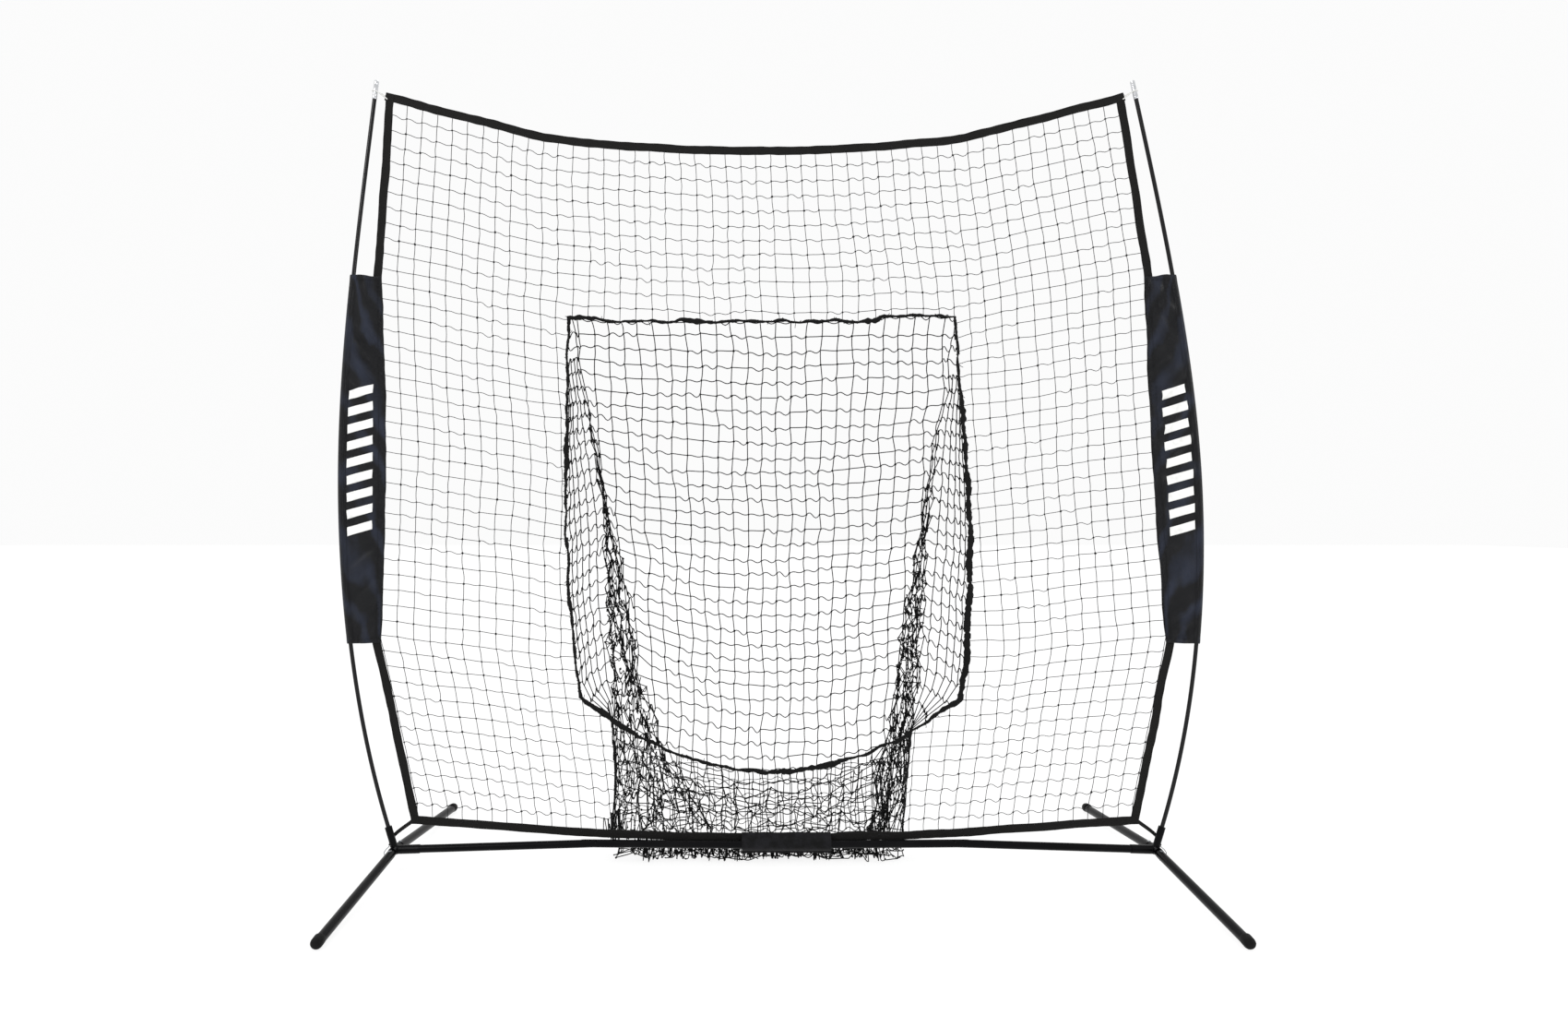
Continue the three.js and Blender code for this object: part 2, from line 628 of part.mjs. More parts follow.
for (const [name, side] of Object.entries(sides)) {
  addPiece(`hub_bracket_${name}`, "steel", hubBracket(side));
  addPiece(`crossbar_outer_${name}`, "steel", crossbarOuter(side));
  addPiece(`crossbar_inner_${name}`, "steel", crossbarInner(side));
  const stubButton = springButton(stubButtonPoint(side), CROSSBAR_BORE, STUB_DIAMETER / 2);
  const jointButton = springButton(jointButtonPoint(side), NOSE_BORE, CROSSBAR_RADIUS);
  addPiece(`stub_button_${name}`, "zinc", stubButton);
  addPiece(`joint_button_${name}`, "zinc", jointButton);
  for (const [end, facing] of [["front", -1], ["rear", 1]]) {
    const frame = footFrame(side, facing, FOOT_TOE_IN);
    addPiece(`foot_tube_${end}_${name}`, "steel", place(footTube(), frame));
    addPiece(`foot_cap_${end}_${name}`, "rubber", footCap(frame));
    addPiece(`foot_rivet_${end}_${name}`, "zinc", place(footRivet(), footFrame(side, facing)));
  }
}
addPiece("crossbar_spigot", "steel", middleSpigot());

// ---- bow poles ----------------------------------------------------------------------------
const POLE_RADIUS = POLE_DIAMETER / 2;

function poleSection(side, fromZ, toZ) {
  return barAlong(new PoleCurve(side, fromZ, toZ), POLE_RADIUS, Math.ceil((toZ - fromZ) / 80), 10);
}

// A short round part centred on the pole at a height, following its direction.
function onPole(side, z, profileLength, shape) {
  const low = vec(poleX(side, z - profileLength / 2), 0, z - profileLength / 2);
  const high = vec(poleX(side, z + profileLength / 2), 0, z + profileLength / 2);
  return aim(shape, low, high.sub(low));
}

function ferrule(side, z) {
  const bore = POLE_RADIUS + 2 * GAP;
  return onPole(side, z, FERRULE_LENGTH, pipe(FERRULE_DIAMETER / 2, bore, FERRULE_LENGTH));
}

// A polished ferrule over the pole's end, closed by a low dome.
function tipCap(side) {
  const [low, middle, high] = steps(TIP_Z - TIP_CAP_LENGTH, TIP_Z, 2).map((z) => poleX(side, z));
  const bow = Math.abs(middle - (low + high) / 2); // how far the pole bends inside the cap
  const bore = POLE_RADIUS + GAP + bow;
  const outer = TIP_CAP_DIAMETER / 2;
  const profile = [
    [bore, 0],
    [outer, 0],
    [outer, TIP_CAP_LENGTH - 3],
    [outer * 0.6, TIP_CAP_LENGTH],
    [0, TIP_CAP_LENGTH],
    [0, TIP_CAP_LENGTH - 4],
    [bore, TIP_CAP_LENGTH - 4],
    [bore, 0],
  ];
  return onPole(side, TIP_Z - TIP_CAP_LENGTH / 2, TIP_CAP_LENGTH, turned(profile));
}

for (const [name, side] of Object.entries(sides)) {
  const ends = [POLE_INSERT_Z, ...POLE_JOINTS_Z, TIP_Z - 8];
  ["lower", "middle", "upper"].forEach((part, i) => {
    const section = poleSection(side, ends[i] + GAP, ends[i + 1] - GAP);
    addPiece(`pole_${part}_${name}`, "fibreglass", section);
  });
  ["lower", "upper"].forEach((part, i) => {
    addPiece(`pole_ferrule_${part}_${name}`, "zinc", ferrule(side, POLE_JOINTS_Z[i]));
  });
  addPiece(`pole_tip_${name}`, "nickel", tipCap(side));
}

// ---- hem tape -----------------------------------------------------------------------------
const HEM_HALF = HEM_WIDTH / 2;

// A band along a hem that runs from left to right, from its centre-line height.
function levelHem(heightAt, cornerZ, stations) {
  const xs = stations(hemX(-1, cornerZ) - HEM_HALF, hemX(1, cornerZ) + HEM_HALF);
  const upper = xs.map((x) => [x, heightAt(x) + HEM_HALF]);
  const lower = xs.map((x) => [x, heightAt(x) - HEM_HALF]).reverse();
  return plate([...upper, ...lower], NET_Y, HEM_THICKNESS);
}

// Side hem between the bottom and top hems, its ends cut to their slopes.
function sideHem(side) {
  const edge = (offset) => {
    const bottomX = hemX(side, BOTTOM_CORNER.z) + offset;
    const topX = hemX(side, TOP_CORNER.z) + offset;
    const low = bottomHemZ(bottomX) + HEM_HALF + GAP;
    const high = topHemZ(topX) - HEM_HALF - GAP;
    const between = hemSideStations.filter((z) => z < high);
    return [low, ...between, high].map((z) => [hemX(side, z) + offset, z]);
  };
  return plate([...edge(-HEM_HALF), ...edge(HEM_HALF).reverse()], NET_Y, HEM_THICKNESS);
}

addPiece("hem_top", "tape", levelHem(topHemZ, TOP_CORNER.z, topStations));
addPiece("hem_bottom", "tape", levelHem(bottomHemZ, BOTTOM_CORNER.z, bottomStations));
for (const [name, side] of Object.entries(sides)) {
  addPiece(`hem_${name}`, "tape", sideHem(side));
}

// ---- face net, in four plates round the opening -------------------------------------------
const NET_INSET = HEM_HALF + GAP;
const RIM_HALF = RIM_WIDTH / 2;
const UPPER_SPLIT_Z = OPENING_TOP.z + RIM_HALF + GAP;
const lowerSplitX = (side) => openingX(side, OPENING_CORNER.z) + side * (RIM_HALF + GAP);

// The netting stops short of the fabric wrap that goes over the bottom hem.
const wrapEnds = [WRAP_CENTRE_X - WRAP_LENGTH / 2, WRAP_CENTRE_X + WRAP_LENGTH / 2];
const wrapBoreTop = Math.max(...wrapEnds.map(bottomHemZ)) + HEM_HALF + 2 * GAP;
const wrapNotch = {
  left: wrapEnds[0] - GAP,
  right: wrapEnds[1] + GAP,
  top: wrapBoreTop + WRAP_THICKNESS + GAP,
};

// A net's outer edge between two heights, from the top down, with the side hem's own stations.
function netEdge(side, high, low) {
  const between = hemSideStations.filter((z) => z < high && z > low).reverse();
  return [high, ...between, low].map((z) => [hemX(side, z) - side * NET_INSET, z]);
}

function upperNet() {
  const topOf = (side) => {
    const x = hemX(side, TOP_CORNER.z) - side * NET_INSET;
    return topHemZ(x) - NET_INSET;
  };
  const left = netEdge(-1, topOf(-1), UPPER_SPLIT_Z);
  const right = netEdge(1, topOf(1), UPPER_SPLIT_Z).reverse();
  const xs = topStations(left[0][0], right[right.length - 1][0]).slice(1, -1);
  const top = xs.map((x) => [x, topHemZ(x) - NET_INSET]).reverse();
  return plate([...left, ...right, ...top], NET_Y, NET_THICKNESS);
}

function sideNet(side) {
  const bottomX = hemX(side, BOTTOM_CORNER.z) - side * NET_INSET;
  const bottomZ = (x) => bottomHemZ(x) + NET_INSET;
  const top = UPPER_SPLIT_Z - GAP;
  const outer = netEdge(side, top, bottomZ(bottomX));
  const xs = bottomStations(bottomX, lowerSplitX(side));
  const inward = side < 0 ? xs : xs.reverse();
  const bottom = inward.slice(1).map((x) => [x, bottomZ(x)]);
  const inner = steps(OPENING_CORNER.z, OPENING_TOP.z, 8).map((z) => [
    openingX(side, z) + side * (RIM_HALF + GAP),
    z,
  ]);
  inner[inner.length - 1][1] = top;
  return plate([...outer, ...bottom, ...inner], NET_Y, NET_THICKNESS);
}

function lowerNet() {
  const [left, right] = Object.values(sides).map((side) => lowerSplitX(side) - side * GAP);
  const inset = RIM_HALF + GAP;
  const rimZ = (x) => openingBottomZ(x) - inset;
  const upper = openingStations.map((x) => [x, rimZ(x)]);
  const ends = [upper[0][1], upper[upper.length - 1][1]];
  const edge = (from, to) => bottomStations(from, to).map((x) => [x, bottomHemZ(x) + NET_INSET]);
  const notch = [[wrapNotch.left, wrapNotch.top], [wrapNotch.right, wrapNotch.top]];
  const lower = [...edge(left, wrapNotch.left), ...notch, ...edge(wrapNotch.right, right)];
  const outline = [[left, ends[0]], ...upper, [right, ends[1]], ...lower.reverse()];
  return plate(outline, NET_Y, NET_THICKNESS);
}

addPiece("net_upper", "twine", upperNet());
addPiece("net_lower", "twine", lowerNet());
for (const [name, side] of Object.entries(sides)) {
  addPiece(`net_${name}`, "twine", sideNet(side));
}
const rim = plate(openingLoop(RIM_HALF), NET_Y, RIM_THICKNESS, [openingLoop(-RIM_HALF)]);
addPiece("strike_zone_rim", "tape", rim);

// ---- pocket behind the opening ------------------------------------------------------------
const pocketEdge = (station, side, inset = 0) =>
  vec(side * (station.half - inset) + POCKET_SHIFT, station.y, station.z);

function pocketBack() {
  const inset = POCKET_THICKNESS + GAP;
  const pairs = POCKET_STATIONS.map((s) => [pocketEdge(s, -1, inset), pocketEdge(s, 1, inset)]);
  return sheet(pairs, POCKET_THICKNESS);
}

// How far down the bag's front a height lies, from 0 at the opening's low corners to 1 at its floor.
const bagFloor = POCKET_STATIONS[POCKET_STATIONS.length - 1];
const frontDrop = (z) =>
  THREE.MathUtils.clamp((OPENING_CORNER.z - z) / (OPENING_CORNER.z - bagFloor.z), 0, 1);

// The front edge of a bag side: along the opening, then in to the corner of the floor.
function pocketFrontEdge(side, z) {
  const drop = frontDrop(z);
  const start = openingX(side, Math.max(z, OPENING_CORNER.z));
  const x = THREE.MathUtils.lerp(start, pocketEdge(bagFloor, side).x, drop);
  return vec(x, THREE.MathUtils.lerp(POCKET_FRONT_Y, FLOOR_FRONT_Y, drop), z);
}

function pocketSide(side) {
  const pairs = POCKET_STATIONS.map((s) => [pocketFrontEdge(side, s.z), pocketEdge(s, side)]);
  return sheet(pairs, POCKET_THICKNESS);
}

// The front wall, from the opening's round bottom edge down to the floor of the bag.
function pocketFront() {
  const inset = 3 * POCKET_THICKNESS; // the bag's sides slant across the end of this wall
  const [left, right] = Object.values(sides).map((side) => pocketEdge(bagFloor, side, inset).x);
  const last = openingStations.length - 1;
  const half = vec(0, POCKET_THICKNESS / 2, 0);
  return loft(
    openingStations.map((x, i) => {
      const end = i === 0 ? inset : i === last ? -inset : 0;
      const top = vec(x + end, POCKET_FRONT_Y, openingBottomZ(x) - RIM_HALF - GAP);
      const low = vec(THREE.MathUtils.lerp(left, right, i / last), FLOOR_FRONT_Y, bagFloor.z);
      return [
        top.clone().sub(half),
        low.clone().sub(half),
        low.clone().add(half),
        top.clone().add(half),
      ];
    }),
  );
}

// The floor of the bag, where balls collect.
function pocketFloor() {
  const [left, right] = Object.values(sides).map((side) => pocketEdge(bagFloor, side).x);
  const depth = bagFloor.y - FLOOR_FRONT_Y;
  const floor = new THREE.BoxGeometry(right - left, depth, POCKET_THICKNESS);
  return floor.translate((left + right) / 2, FLOOR_FRONT_Y + depth / 2, FLOOR_Z);
}

addPiece("pocket_back", "twine", pocketBack());
addPiece("pocket_front", "twine", pocketFront());
addPiece("pocket_floor", "twine", pocketFloor());
for (const [name, side] of Object.entries(sides)) {
  addPiece(`pocket_side_${name}`, "twine", pocketSide(side));
}

// ---- fabric: side panels and the crossbar wrap --------------------------------------------
// A pole sleeve with a flat web that runs to the hem, as one sheet folded back on itself.
function sidePanel(side) {
  const inner = SLEEVE_RADIUS - PANEL_THICKNESS;
  const turns = 12;
  const sections = sideStations.map((z) => {
    const centre = vec(poleX(side, z), 0, z);
    const web = vec(hemX(side, z) + side * NET_INSET, NET_Y, z);
    const heading = Math.atan2(web.y, web.x - centre.x);
    const start = Math.asin(GAP / inner) + PANEL_THICKNESS / SLEEVE_RADIUS;
    const ring = (radius, from, to) =>
      steps(from, to, turns).map((angle) =>
        vec(
          centre.x + radius * Math.cos(heading + angle),
          radius * Math.sin(heading + angle),
          z,
        ),
      );
    const normal = vec(-Math.sin(heading), Math.cos(heading), 0);
    const near = web.clone().addScaledVector(normal, PANEL_THICKNESS / 2);
    const far = web.clone().addScaledVector(normal, -PANEL_THICKNESS / 2);
    const opening = PANEL_THICKNESS / inner;
    return [
      near,
      ...ring(SLEEVE_RADIUS, opening / 2, 2 * Math.PI - start),
      ...ring(inner, 2 * Math.PI - start, opening / 2),
      far,
    ];
  });
  return loft(sections);
}

for (const [name, side] of Object.entries(sides)) {
  addPiece(`side_panel_${name}`, "oxford", sidePanel(side));
}

// A hook-and-loop band round the crossbar and the bottom hem, its ends pressed together below.
function centreWrap() {
  const front = -(CROSSBAR_RADIUS + 2 * GAP);
  const back = NET_Y + HEM_THICKNESS / 2 + 2 * GAP;
  const top = wrapBoreTop;
  const low = CROSSBAR_MIDDLE_Z - CROSSBAR_RADIUS - 3 * GAP;
  const shoulder = CROSSBAR_MIDDLE_Z + CROSSBAR_RADIUS - 6;
  const t = WRAP_THICKNESS;

  const outer = [
    [front - t, low],
    [front + 3, low - 5],
    [-t, low - WRAP_TAIL],
    [t, low - WRAP_TAIL],
    [back - 6, low - 5],
    [back + t, low + 8],
    [back + t, top],
    [back, top + t],
    [6, top + t],
    [front - t, shoulder + 1],
  ];
  const inner = [
    [front, low + 1],
    [back - 6, low],
    [back, low + 8],
    [back, top],
    [7, top],
    [front, shoulder],
  ];
  const shape = new THREE.Shape(outer.map(([y, z]) => new THREE.Vector2(y, z)));
  shape.holes.push(new THREE.Path(inner.map(([y, z]) => new THREE.Vector2(y, z))));
  const body = new THREE.ExtrudeGeometry(shape, { depth: WRAP_LENGTH, bevelEnabled: false });
  const basis = new THREE.Matrix4().makeBasis(Y, Z, X);
  return body.applyMatrix4(basis).translate(WRAP_CENTRE_X - WRAP_LENGTH / 2, 0, 0);
}

addPiece("centre_wrap", "loopFabric", centreWrap());

// ---- corner ties ----------------------------------------------------------------------------
const HOOK_OFFSET = FOOT_RADIUS + 6.5; // hub centre to the hook's eye, sideways

// Elastic tie from the net's bottom corner, behind the pole socket, to a wire hook outside the hub.
function cornerTie(side) {
  const cornerX = hemX(side, BOTTOM_CORNER.z) + side * (HEM_HALF + 1);
  const corner = vec(cornerX, NET_Y, BOTTOM_CORNER.z - HEM_HALF - 6);
  const behindY = SOCKET_DIAMETER / 2 + TIE_DIAMETER / 2 + 1.5;
  const behind = vec(side * socketHalf(HUB_Z + 30), behindY, HUB_Z + 30);
  const outside = vec(side * (HUB_HALF_SPAN + HOOK_OFFSET), 9, HUB_Z + 12);
  const middle = corner.clone().lerp(behind, 0.5);
  const curve = new THREE.CatmullRomCurve3([corner, middle, behind, outside]);
  return barAlong(curve, TIE_DIAMETER / 2, 12, 8);
}

function tieHook(side) {
  const x = side * (HUB_HALF_SPAN + HOOK_OFFSET);
  const points = [
    vec(x + side * 2, 8, HUB_Z + 5),
    vec(x + side * 9, 4, HUB_Z - 2),
    vec(x + side * 12, -2, HUB_Z - 10),
    vec(x + side * 6, -5, HUB_Z - 15),
    vec(x + side * 1, -4, HUB_Z - 9),
  ];
  return barAlong(new THREE.CatmullRomCurve3(points), HOOK_WIRE / 2, 14, 8);
}

// Light elastic loop from the net's top corner to the pole tip.
function topLoop(side) {
  const startX = hemX(side, TOP_CORNER.z) + side * (HEM_HALF + CORD_DIAMETER / 2 + GAP);
  const start = vec(startX, NET_Y, TOP_CORNER.z + 4);
  const tipZ = TIP_Z - TIP_CAP_LENGTH / 2;
  const clear = TIP_CAP_DIAMETER / 2 + CORD_DIAMETER / 2 + GAP;
  const end = vec(poleX(side, tipZ), clear, tipZ);
  const middle = start.clone().lerp(end, 0.5).add(vec(0, 0, 1));
  return barAlong(new THREE.CatmullRomCurve3([start, middle, end]), CORD_DIAMETER / 2, 6, 8);
}

for (const [name, side] of Object.entries(sides)) {
  addPiece(`corner_tie_${name}`, "elastic", cornerTie(side));
  addPiece(`tie_hook_${name}`, "zinc", tieHook(side));
  addPiece(`top_loop_${name}`, "whiteElastic", topLoop(side));
}

export default group;
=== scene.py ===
import json
import logging
import math
from dataclasses import dataclass, field
from enum import Enum
from functools import lru_cache

import bpy
import numpy as np
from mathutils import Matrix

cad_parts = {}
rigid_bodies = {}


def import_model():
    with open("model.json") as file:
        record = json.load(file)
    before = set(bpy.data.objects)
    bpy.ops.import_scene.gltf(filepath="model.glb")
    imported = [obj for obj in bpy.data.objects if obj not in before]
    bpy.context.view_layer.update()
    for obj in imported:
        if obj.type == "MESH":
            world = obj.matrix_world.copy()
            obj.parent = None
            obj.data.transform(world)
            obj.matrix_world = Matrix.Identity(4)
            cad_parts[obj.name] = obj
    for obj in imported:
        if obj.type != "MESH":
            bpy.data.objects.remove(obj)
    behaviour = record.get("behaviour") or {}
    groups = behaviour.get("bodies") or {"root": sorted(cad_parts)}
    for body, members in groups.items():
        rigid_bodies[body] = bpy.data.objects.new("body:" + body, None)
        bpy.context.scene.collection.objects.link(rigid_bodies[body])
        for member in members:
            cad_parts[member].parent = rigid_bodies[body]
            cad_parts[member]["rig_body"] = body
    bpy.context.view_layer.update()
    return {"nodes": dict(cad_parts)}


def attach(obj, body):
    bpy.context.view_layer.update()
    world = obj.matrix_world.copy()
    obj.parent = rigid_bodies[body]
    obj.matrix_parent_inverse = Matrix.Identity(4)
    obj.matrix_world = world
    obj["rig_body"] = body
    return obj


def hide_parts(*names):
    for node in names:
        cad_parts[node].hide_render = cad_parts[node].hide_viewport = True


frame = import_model()

# Looks of a pitching target net: knotted netting with a strike-zone opening and a catching pocket,
# hung between two bow poles on a tube base with folding feet. +Z is up and -Y faces the pitcher.
# Shapes are in millimetres until Shell.make() turns them to metres. The finishes, the sheets' flat
# sizes and the studio are in metres.

LOG = logging.getLogger("pitching_target_net")
MM = 0.001
UP = np.array([0.0, 0.0, 1.0])
BACK = np.array([0.0, 1.0, 0.0])
Tree, Node, Socket = bpy.types.NodeTree, bpy.types.Node, bpy.types.NodeSocket


class Side(Enum):
    """The two mirror halves, with the sign of their X."""

    LEFT = -1
    RIGHT = 1

    @property
    def label(self) -> str:
        """The half's name, as pieces carry it."""
        return self.name.lower()


class Ends(Enum):
    """How a swept section ends."""

    OPEN = "open"
    FLAT = "flat"
    DOMED = "domed"
    JOINED = "joined"


# ---- colours and nodes --------------------------------------------------------------------------
def linear(code: str) -> tuple[float, float, float, float]:
    """Turns an sRGB hex colour into linear RGBA.

    Args:
        code: Six hex digits, such as "1b1c1f".

    Returns:
        Red, green and blue in linear light, and an alpha of one.
    """
    values = [int(code[i : i + 2], 16) / 255 for i in (0, 2, 4)]
    curve = [v / 12.92 if v <= 0.04045 else ((v + 0.055) / 1.055) ** 2.4 for v in values]
    return (*curve, 1.0)


def add(tree: Tree, kind: str, settings: dict | None = None, links: dict | None = None) -> Node:
    """Adds a node with its settings and its incoming links.

    Args:
        tree: The node tree to add to.
        kind: The node's type name, without "ShaderNode".
        settings: Values by property name, or by input name or number.
        links: Output sockets by input name or number.

    Returns:
        The new node.
    """
    node = tree.nodes.new("ShaderNode" + kind)
    for key, value in (settings or {}).items():
        if isinstance(key, str) and hasattr(node, key):
            setattr(node, key, value)
        else:
            node.inputs[key].default_value = value
    for key, socket in (links or {}).items():
        tree.links.new(socket, node.inputs[key])
    return node


# ---- finishes -----------------------------------------------------------------------------------
@dataclass(frozen=True)
class Finish:
    """A real material with the way its surface was made.

    Each kind of finish works out its own patterns in detail().
    """

    name: str
    colour: str
    shade: str
    roughness: float
    metallic: float = 0.0
    ior: float = 1.5
    sheen: float = 0.0
    specular: float = 0.5

    def detail(self, tree: Tree, shader: Node) -> None:
        """Adds the nodes that give the surface its pattern, grain and variation.

        Args:
            tree: The material's node tree.
            shader: Its Principled BSDF.
        """

    def place(self, tree: Tree, source: str, scale: tuple[float, float, float]) -> Socket:
        """Coordinates for a pattern.

        Args:
            tree: The material's node tree.
            source: "Object" for the part's own space or "UV" for metres across and along a piece.
            scale: Repeats per metre along each axis.

        Returns:
            The mapped coordinates.
        """
        where = add(tree, "TexCoord").outputs[source]
        return add(tree, "Mapping", {"Scale": scale}, {"Vector": where}).outputs["Vector"]

    def cloud(self, tree: Tree, repeats: float | tuple, octaves: float = 3.0) -> Socket:
        """An uneven pattern in the part's own space.

        Args:
            tree: The material's node tree.
            repeats: Repeats per metre, one number or one along each axis.
            octaves: How much fine detail it has.

        Returns:
            The pattern.
        """
        scale = repeats if isinstance(repeats, tuple) else (repeats,) * 3
        where = self.place(tree, "Object", scale)
        settings = {"Scale": 1.0, "Detail": octaves}
        return add(tree, "TexNoise", settings, {"Vector": where}).outputs["Fac"]

    def apply(self, tree: Tree, shader: Node, tint: tuple, rough: tuple | None = None,
              relief: tuple | None = None) -> None:
        """Lets patterns drive the shader.

        Args:
            tree: The material's node tree.
            shader: Its Principled BSDF.
            tint: A pattern, with its values for the plain colour and for the shade.
            rough: A pattern, and how far the roughness goes each way.
            relief: A pattern, how high it stands in metres, and its share of the effect.
        """
        pattern, low, high = tint
        ramp = add(tree, "ValToRGB", None, {"Fac": pattern})
        first, last = ramp.color_ramp.elements
        first.position, first.color = low, linear(self.colour)
        last.position, last.color = high, linear(self.shade)
        tree.links.new(ramp.outputs["Color"], shader.inputs["Base Color"])
        if rough:
            pattern, spread = rough
            limits = {"To Min": self.roughness - spread, "To Max": self.roughness + spread}
            varied = add(tree, "MapRange", limits, {"Value": pattern})
            tree.links.new(varied.outputs["Result"], shader.inputs["Roughness"])
        if relief:
            pattern, depth, share = relief
            raised = add(tree, "Bump", {"Distance": depth, "Strength": share}, {"Height": pattern})
            tree.links.new(raised.outputs["Normal"], shader.inputs["Normal"])

    @lru_cache(maxsize=None)
    def material(self) -> bpy.types.Material:
        """Builds the material once and returns it each time."""
        made = bpy.data.materials.new(self.name)
        made.use_nodes = True
        tree = made.node_tree
        shader = tree.nodes["Principled BSDF"]
        values = {"Base Color": linear(self.colour), "Roughness": self.roughness,
                  "Metallic": self.metallic, "Sheen Weight": self.sheen, "Sheen Roughness": 0.5}
        if not self.metallic:
            values |= {"IOR": self.ior, "Specular IOR Level": self.specular}
        for socket, value in values.items():
            shader.inputs[socket].default_value = value
        self.detail(tree, shader)
        return made


@dataclass(frozen=True)
class PowderCoat(Finish):
    """Baked powder paint on steel tube: soft gloss, faint orange peel and rubbed patches."""

    peel: float = 1.6 * MM

    def detail(self, tree: Tree, shader: Node) -> None:
        """Adds the orange peel and the handling wear."""
        rubbed = self.cloud(tree, 9.0, 6.0)
        peel = self.cloud(tree, 1 / self.peel, 1.0)
        self.apply(tree, shader, (rubbed, 0.42, 0.75), (rubbed, 0.09), (peel, 0.05 * MM, 0.5))


@dataclass(frozen=True)
class PultrudedRod(Finish):
    """Pultruded fibreglass rod: resin gloss with faint streaks of glass along its length."""

    streak: float = 0.9 * MM

    def detail(self, tree: Tree, shader: Node) -> None:
        """Adds streaks that run up the pole."""
        streaks = self.cloud(tree, (1 / self.streak, 1 / self.streak, 3.0), 4.0)
        self.apply(tree, shader, (streaks, 0.4, 0.8), (streaks, 0.08), (streaks, 0.03 * MM, 0.4))


@dataclass(frozen=True)
class PlatedMetal(Finish):
    """Plated steel or brass: a mirror or a dull plate with fine scuffs and a cloudy tint."""

    scuff: float = 0.7 * MM

    def detail(self, tree: Tree, shader: Node) -> None:
        """Adds cloudiness and scuffs."""
        cloudy = self.cloud(tree, 70.0, 5.0)
        fine = self.cloud(tree, (1 / self.scuff, 1 / self.scuff, 90.0))
        spread = min(0.1, self.roughness * 0.6)
        self.apply(tree, shader, (cloudy, 0.35, 0.7), (fine, spread), (fine, 0.02 * MM, 0.4))


@dataclass(frozen=True)
class MouldedPolymer(Finish):
    """Moulded rubber or vinyl: matt, with the mould's fine texture and dusty high spots."""

    grain: float = 0.8 * MM

    def detail(self, tree: Tree, shader: Node) -> None:
        """Adds the mould's grain and the dust."""
        grain = self.cloud(tree, 1 / self.grain, 2.0)
        dust = self.cloud(tree, 35.0, 6.0)
        self.apply(tree, shader, (dust, 0.45, 0.8), (dust, 0.08), (grain, 0.12 * MM, 0.6))


@dataclass(frozen=True)
class LaidTwine(Finish):
    """Laid and bonded polyester twine: two plies that twist round each other, slightly fuzzy."""

    lay: float = 3.2 * MM
    girth: float = 6.0 * MM

    def detail(self, tree: Tree, shader: Node) -> None:
        """Adds the twist of the plies and the fibres' uneven colour."""
        turned = self.place(tree, "UV", (2 / self.girth, 1 / self.lay, 1.0))
        settings = {"bands_direction": "DIAGONAL", "Scale": 0.5, "Distortion": 0.6}
        plies = add(tree, "TexWave", settings, {"Vector": turned}).outputs["Fac"]
        fibres = self.cloud(tree, 260.0, 5.0)
        mixed = add(tree, "Math", {"operation": "MULTIPLY"}, {0: plies, 1: fibres}).outputs[0]
        self.apply(tree, shader, (mixed, 0.15, 0.6), relief=(plies, 0.35 * MM, 0.8))


@dataclass(frozen=True)
class WovenTape(Finish):
    """Woven polypropylene tape: cross ribs and a fine twill, with a dull sheen."""

    rib: float = 1.6 * MM
    thread: float = 0.9 * MM

    def detail(self, tree: Tree, shader: Node) -> None:
        """Adds the ribs, drawn a little coarser than real so that they show."""
        grid = self.place(tree, "UV", (1 / self.thread, 1 / self.rib, 1.0))
        rib, warp = (add(tree, "TexWave", {"bands_direction": way, "Scale": 0.5, "Distortion": 0.4},
                         {"Vector": grid}).outputs["Fac"] for way in "YX")
        weave = add(tree, "Math", {"operation": "MULTIPLY"}, {0: rib, 1: warp}).outputs[0]
        worn = self.cloud(tree, 22.0, 6.0)
        both = add(tree, "Math", {"operation": "MULTIPLY"}, {0: weave, 1: worn}).outputs[0]
        self.apply(tree, shader, (both, 0.1, 0.5), (worn, 0.08), (weave, 0.3 * MM, 0.8))


@dataclass(frozen=True)
class CoatedOxford(Finish):
    """Coated polyester oxford cloth: a basket weave with a satin face and soft creases, with
    painted highlights along the creases.
    """

    thread: float = 1.2 * MM

    def detail(self, tree: Tree, shader: Node) -> None:
        """Adds the basket weave, drawn a little coarser than real, and the creases, which also
        carry painted highlights in the colour.
        """
        grid = {"Vector": self.place(tree, "UV", (1 / self.thread, 1 / self.thread, 1.0))}
        weave = add(tree, "TexChecker", {"Scale": 1.0}, grid).outputs["Fac"]
        thread = add(tree, "TexWave", {"bands_direction": "X", "Scale": 1.0}, grid).outputs["Fac"]
        drawn = self.place(tree, "UV", (7.0, 3.4, 1.0))
        pull = {"bands_direction": "DIAGONAL", "Scale": 1.0, "Distortion": 9.0, "Detail": 4.0}
        folds = add(tree, "TexWave", pull, {"Vector": drawn}).outputs["Fac"]
        patches = self.cloud(tree, (14.0, 14.0, 7.0), 7.0)
        crease_and_painted_highlight = add(tree, "Math", {"operation": "MULTIPLY"}, {0: folds, 1: patches}).outputs[0]
        raised = add(tree, "Math", {"operation": "MULTIPLY"}, {0: weave, 1: thread}).outputs[0]
        low = add(tree, "Math", {"operation": "MULTIPLY", 1: 0.3}, {0: raised}).outputs[0]
        height = add(tree, "Math", {"operation": "ADD"}, {0: low, 1: crease_and_painted_highlight}).outputs[0]
        # Painted highlight: the colour turns lighter along the crease pattern; the same pattern
        # also sets the roughness and the real relief.
        self.apply(tree, shader, (crease_and_painted_highlight, 0.22, 0.62), (crease_and_painted_highlight, 0.1), (height, 2.4 * MM, 0.8))


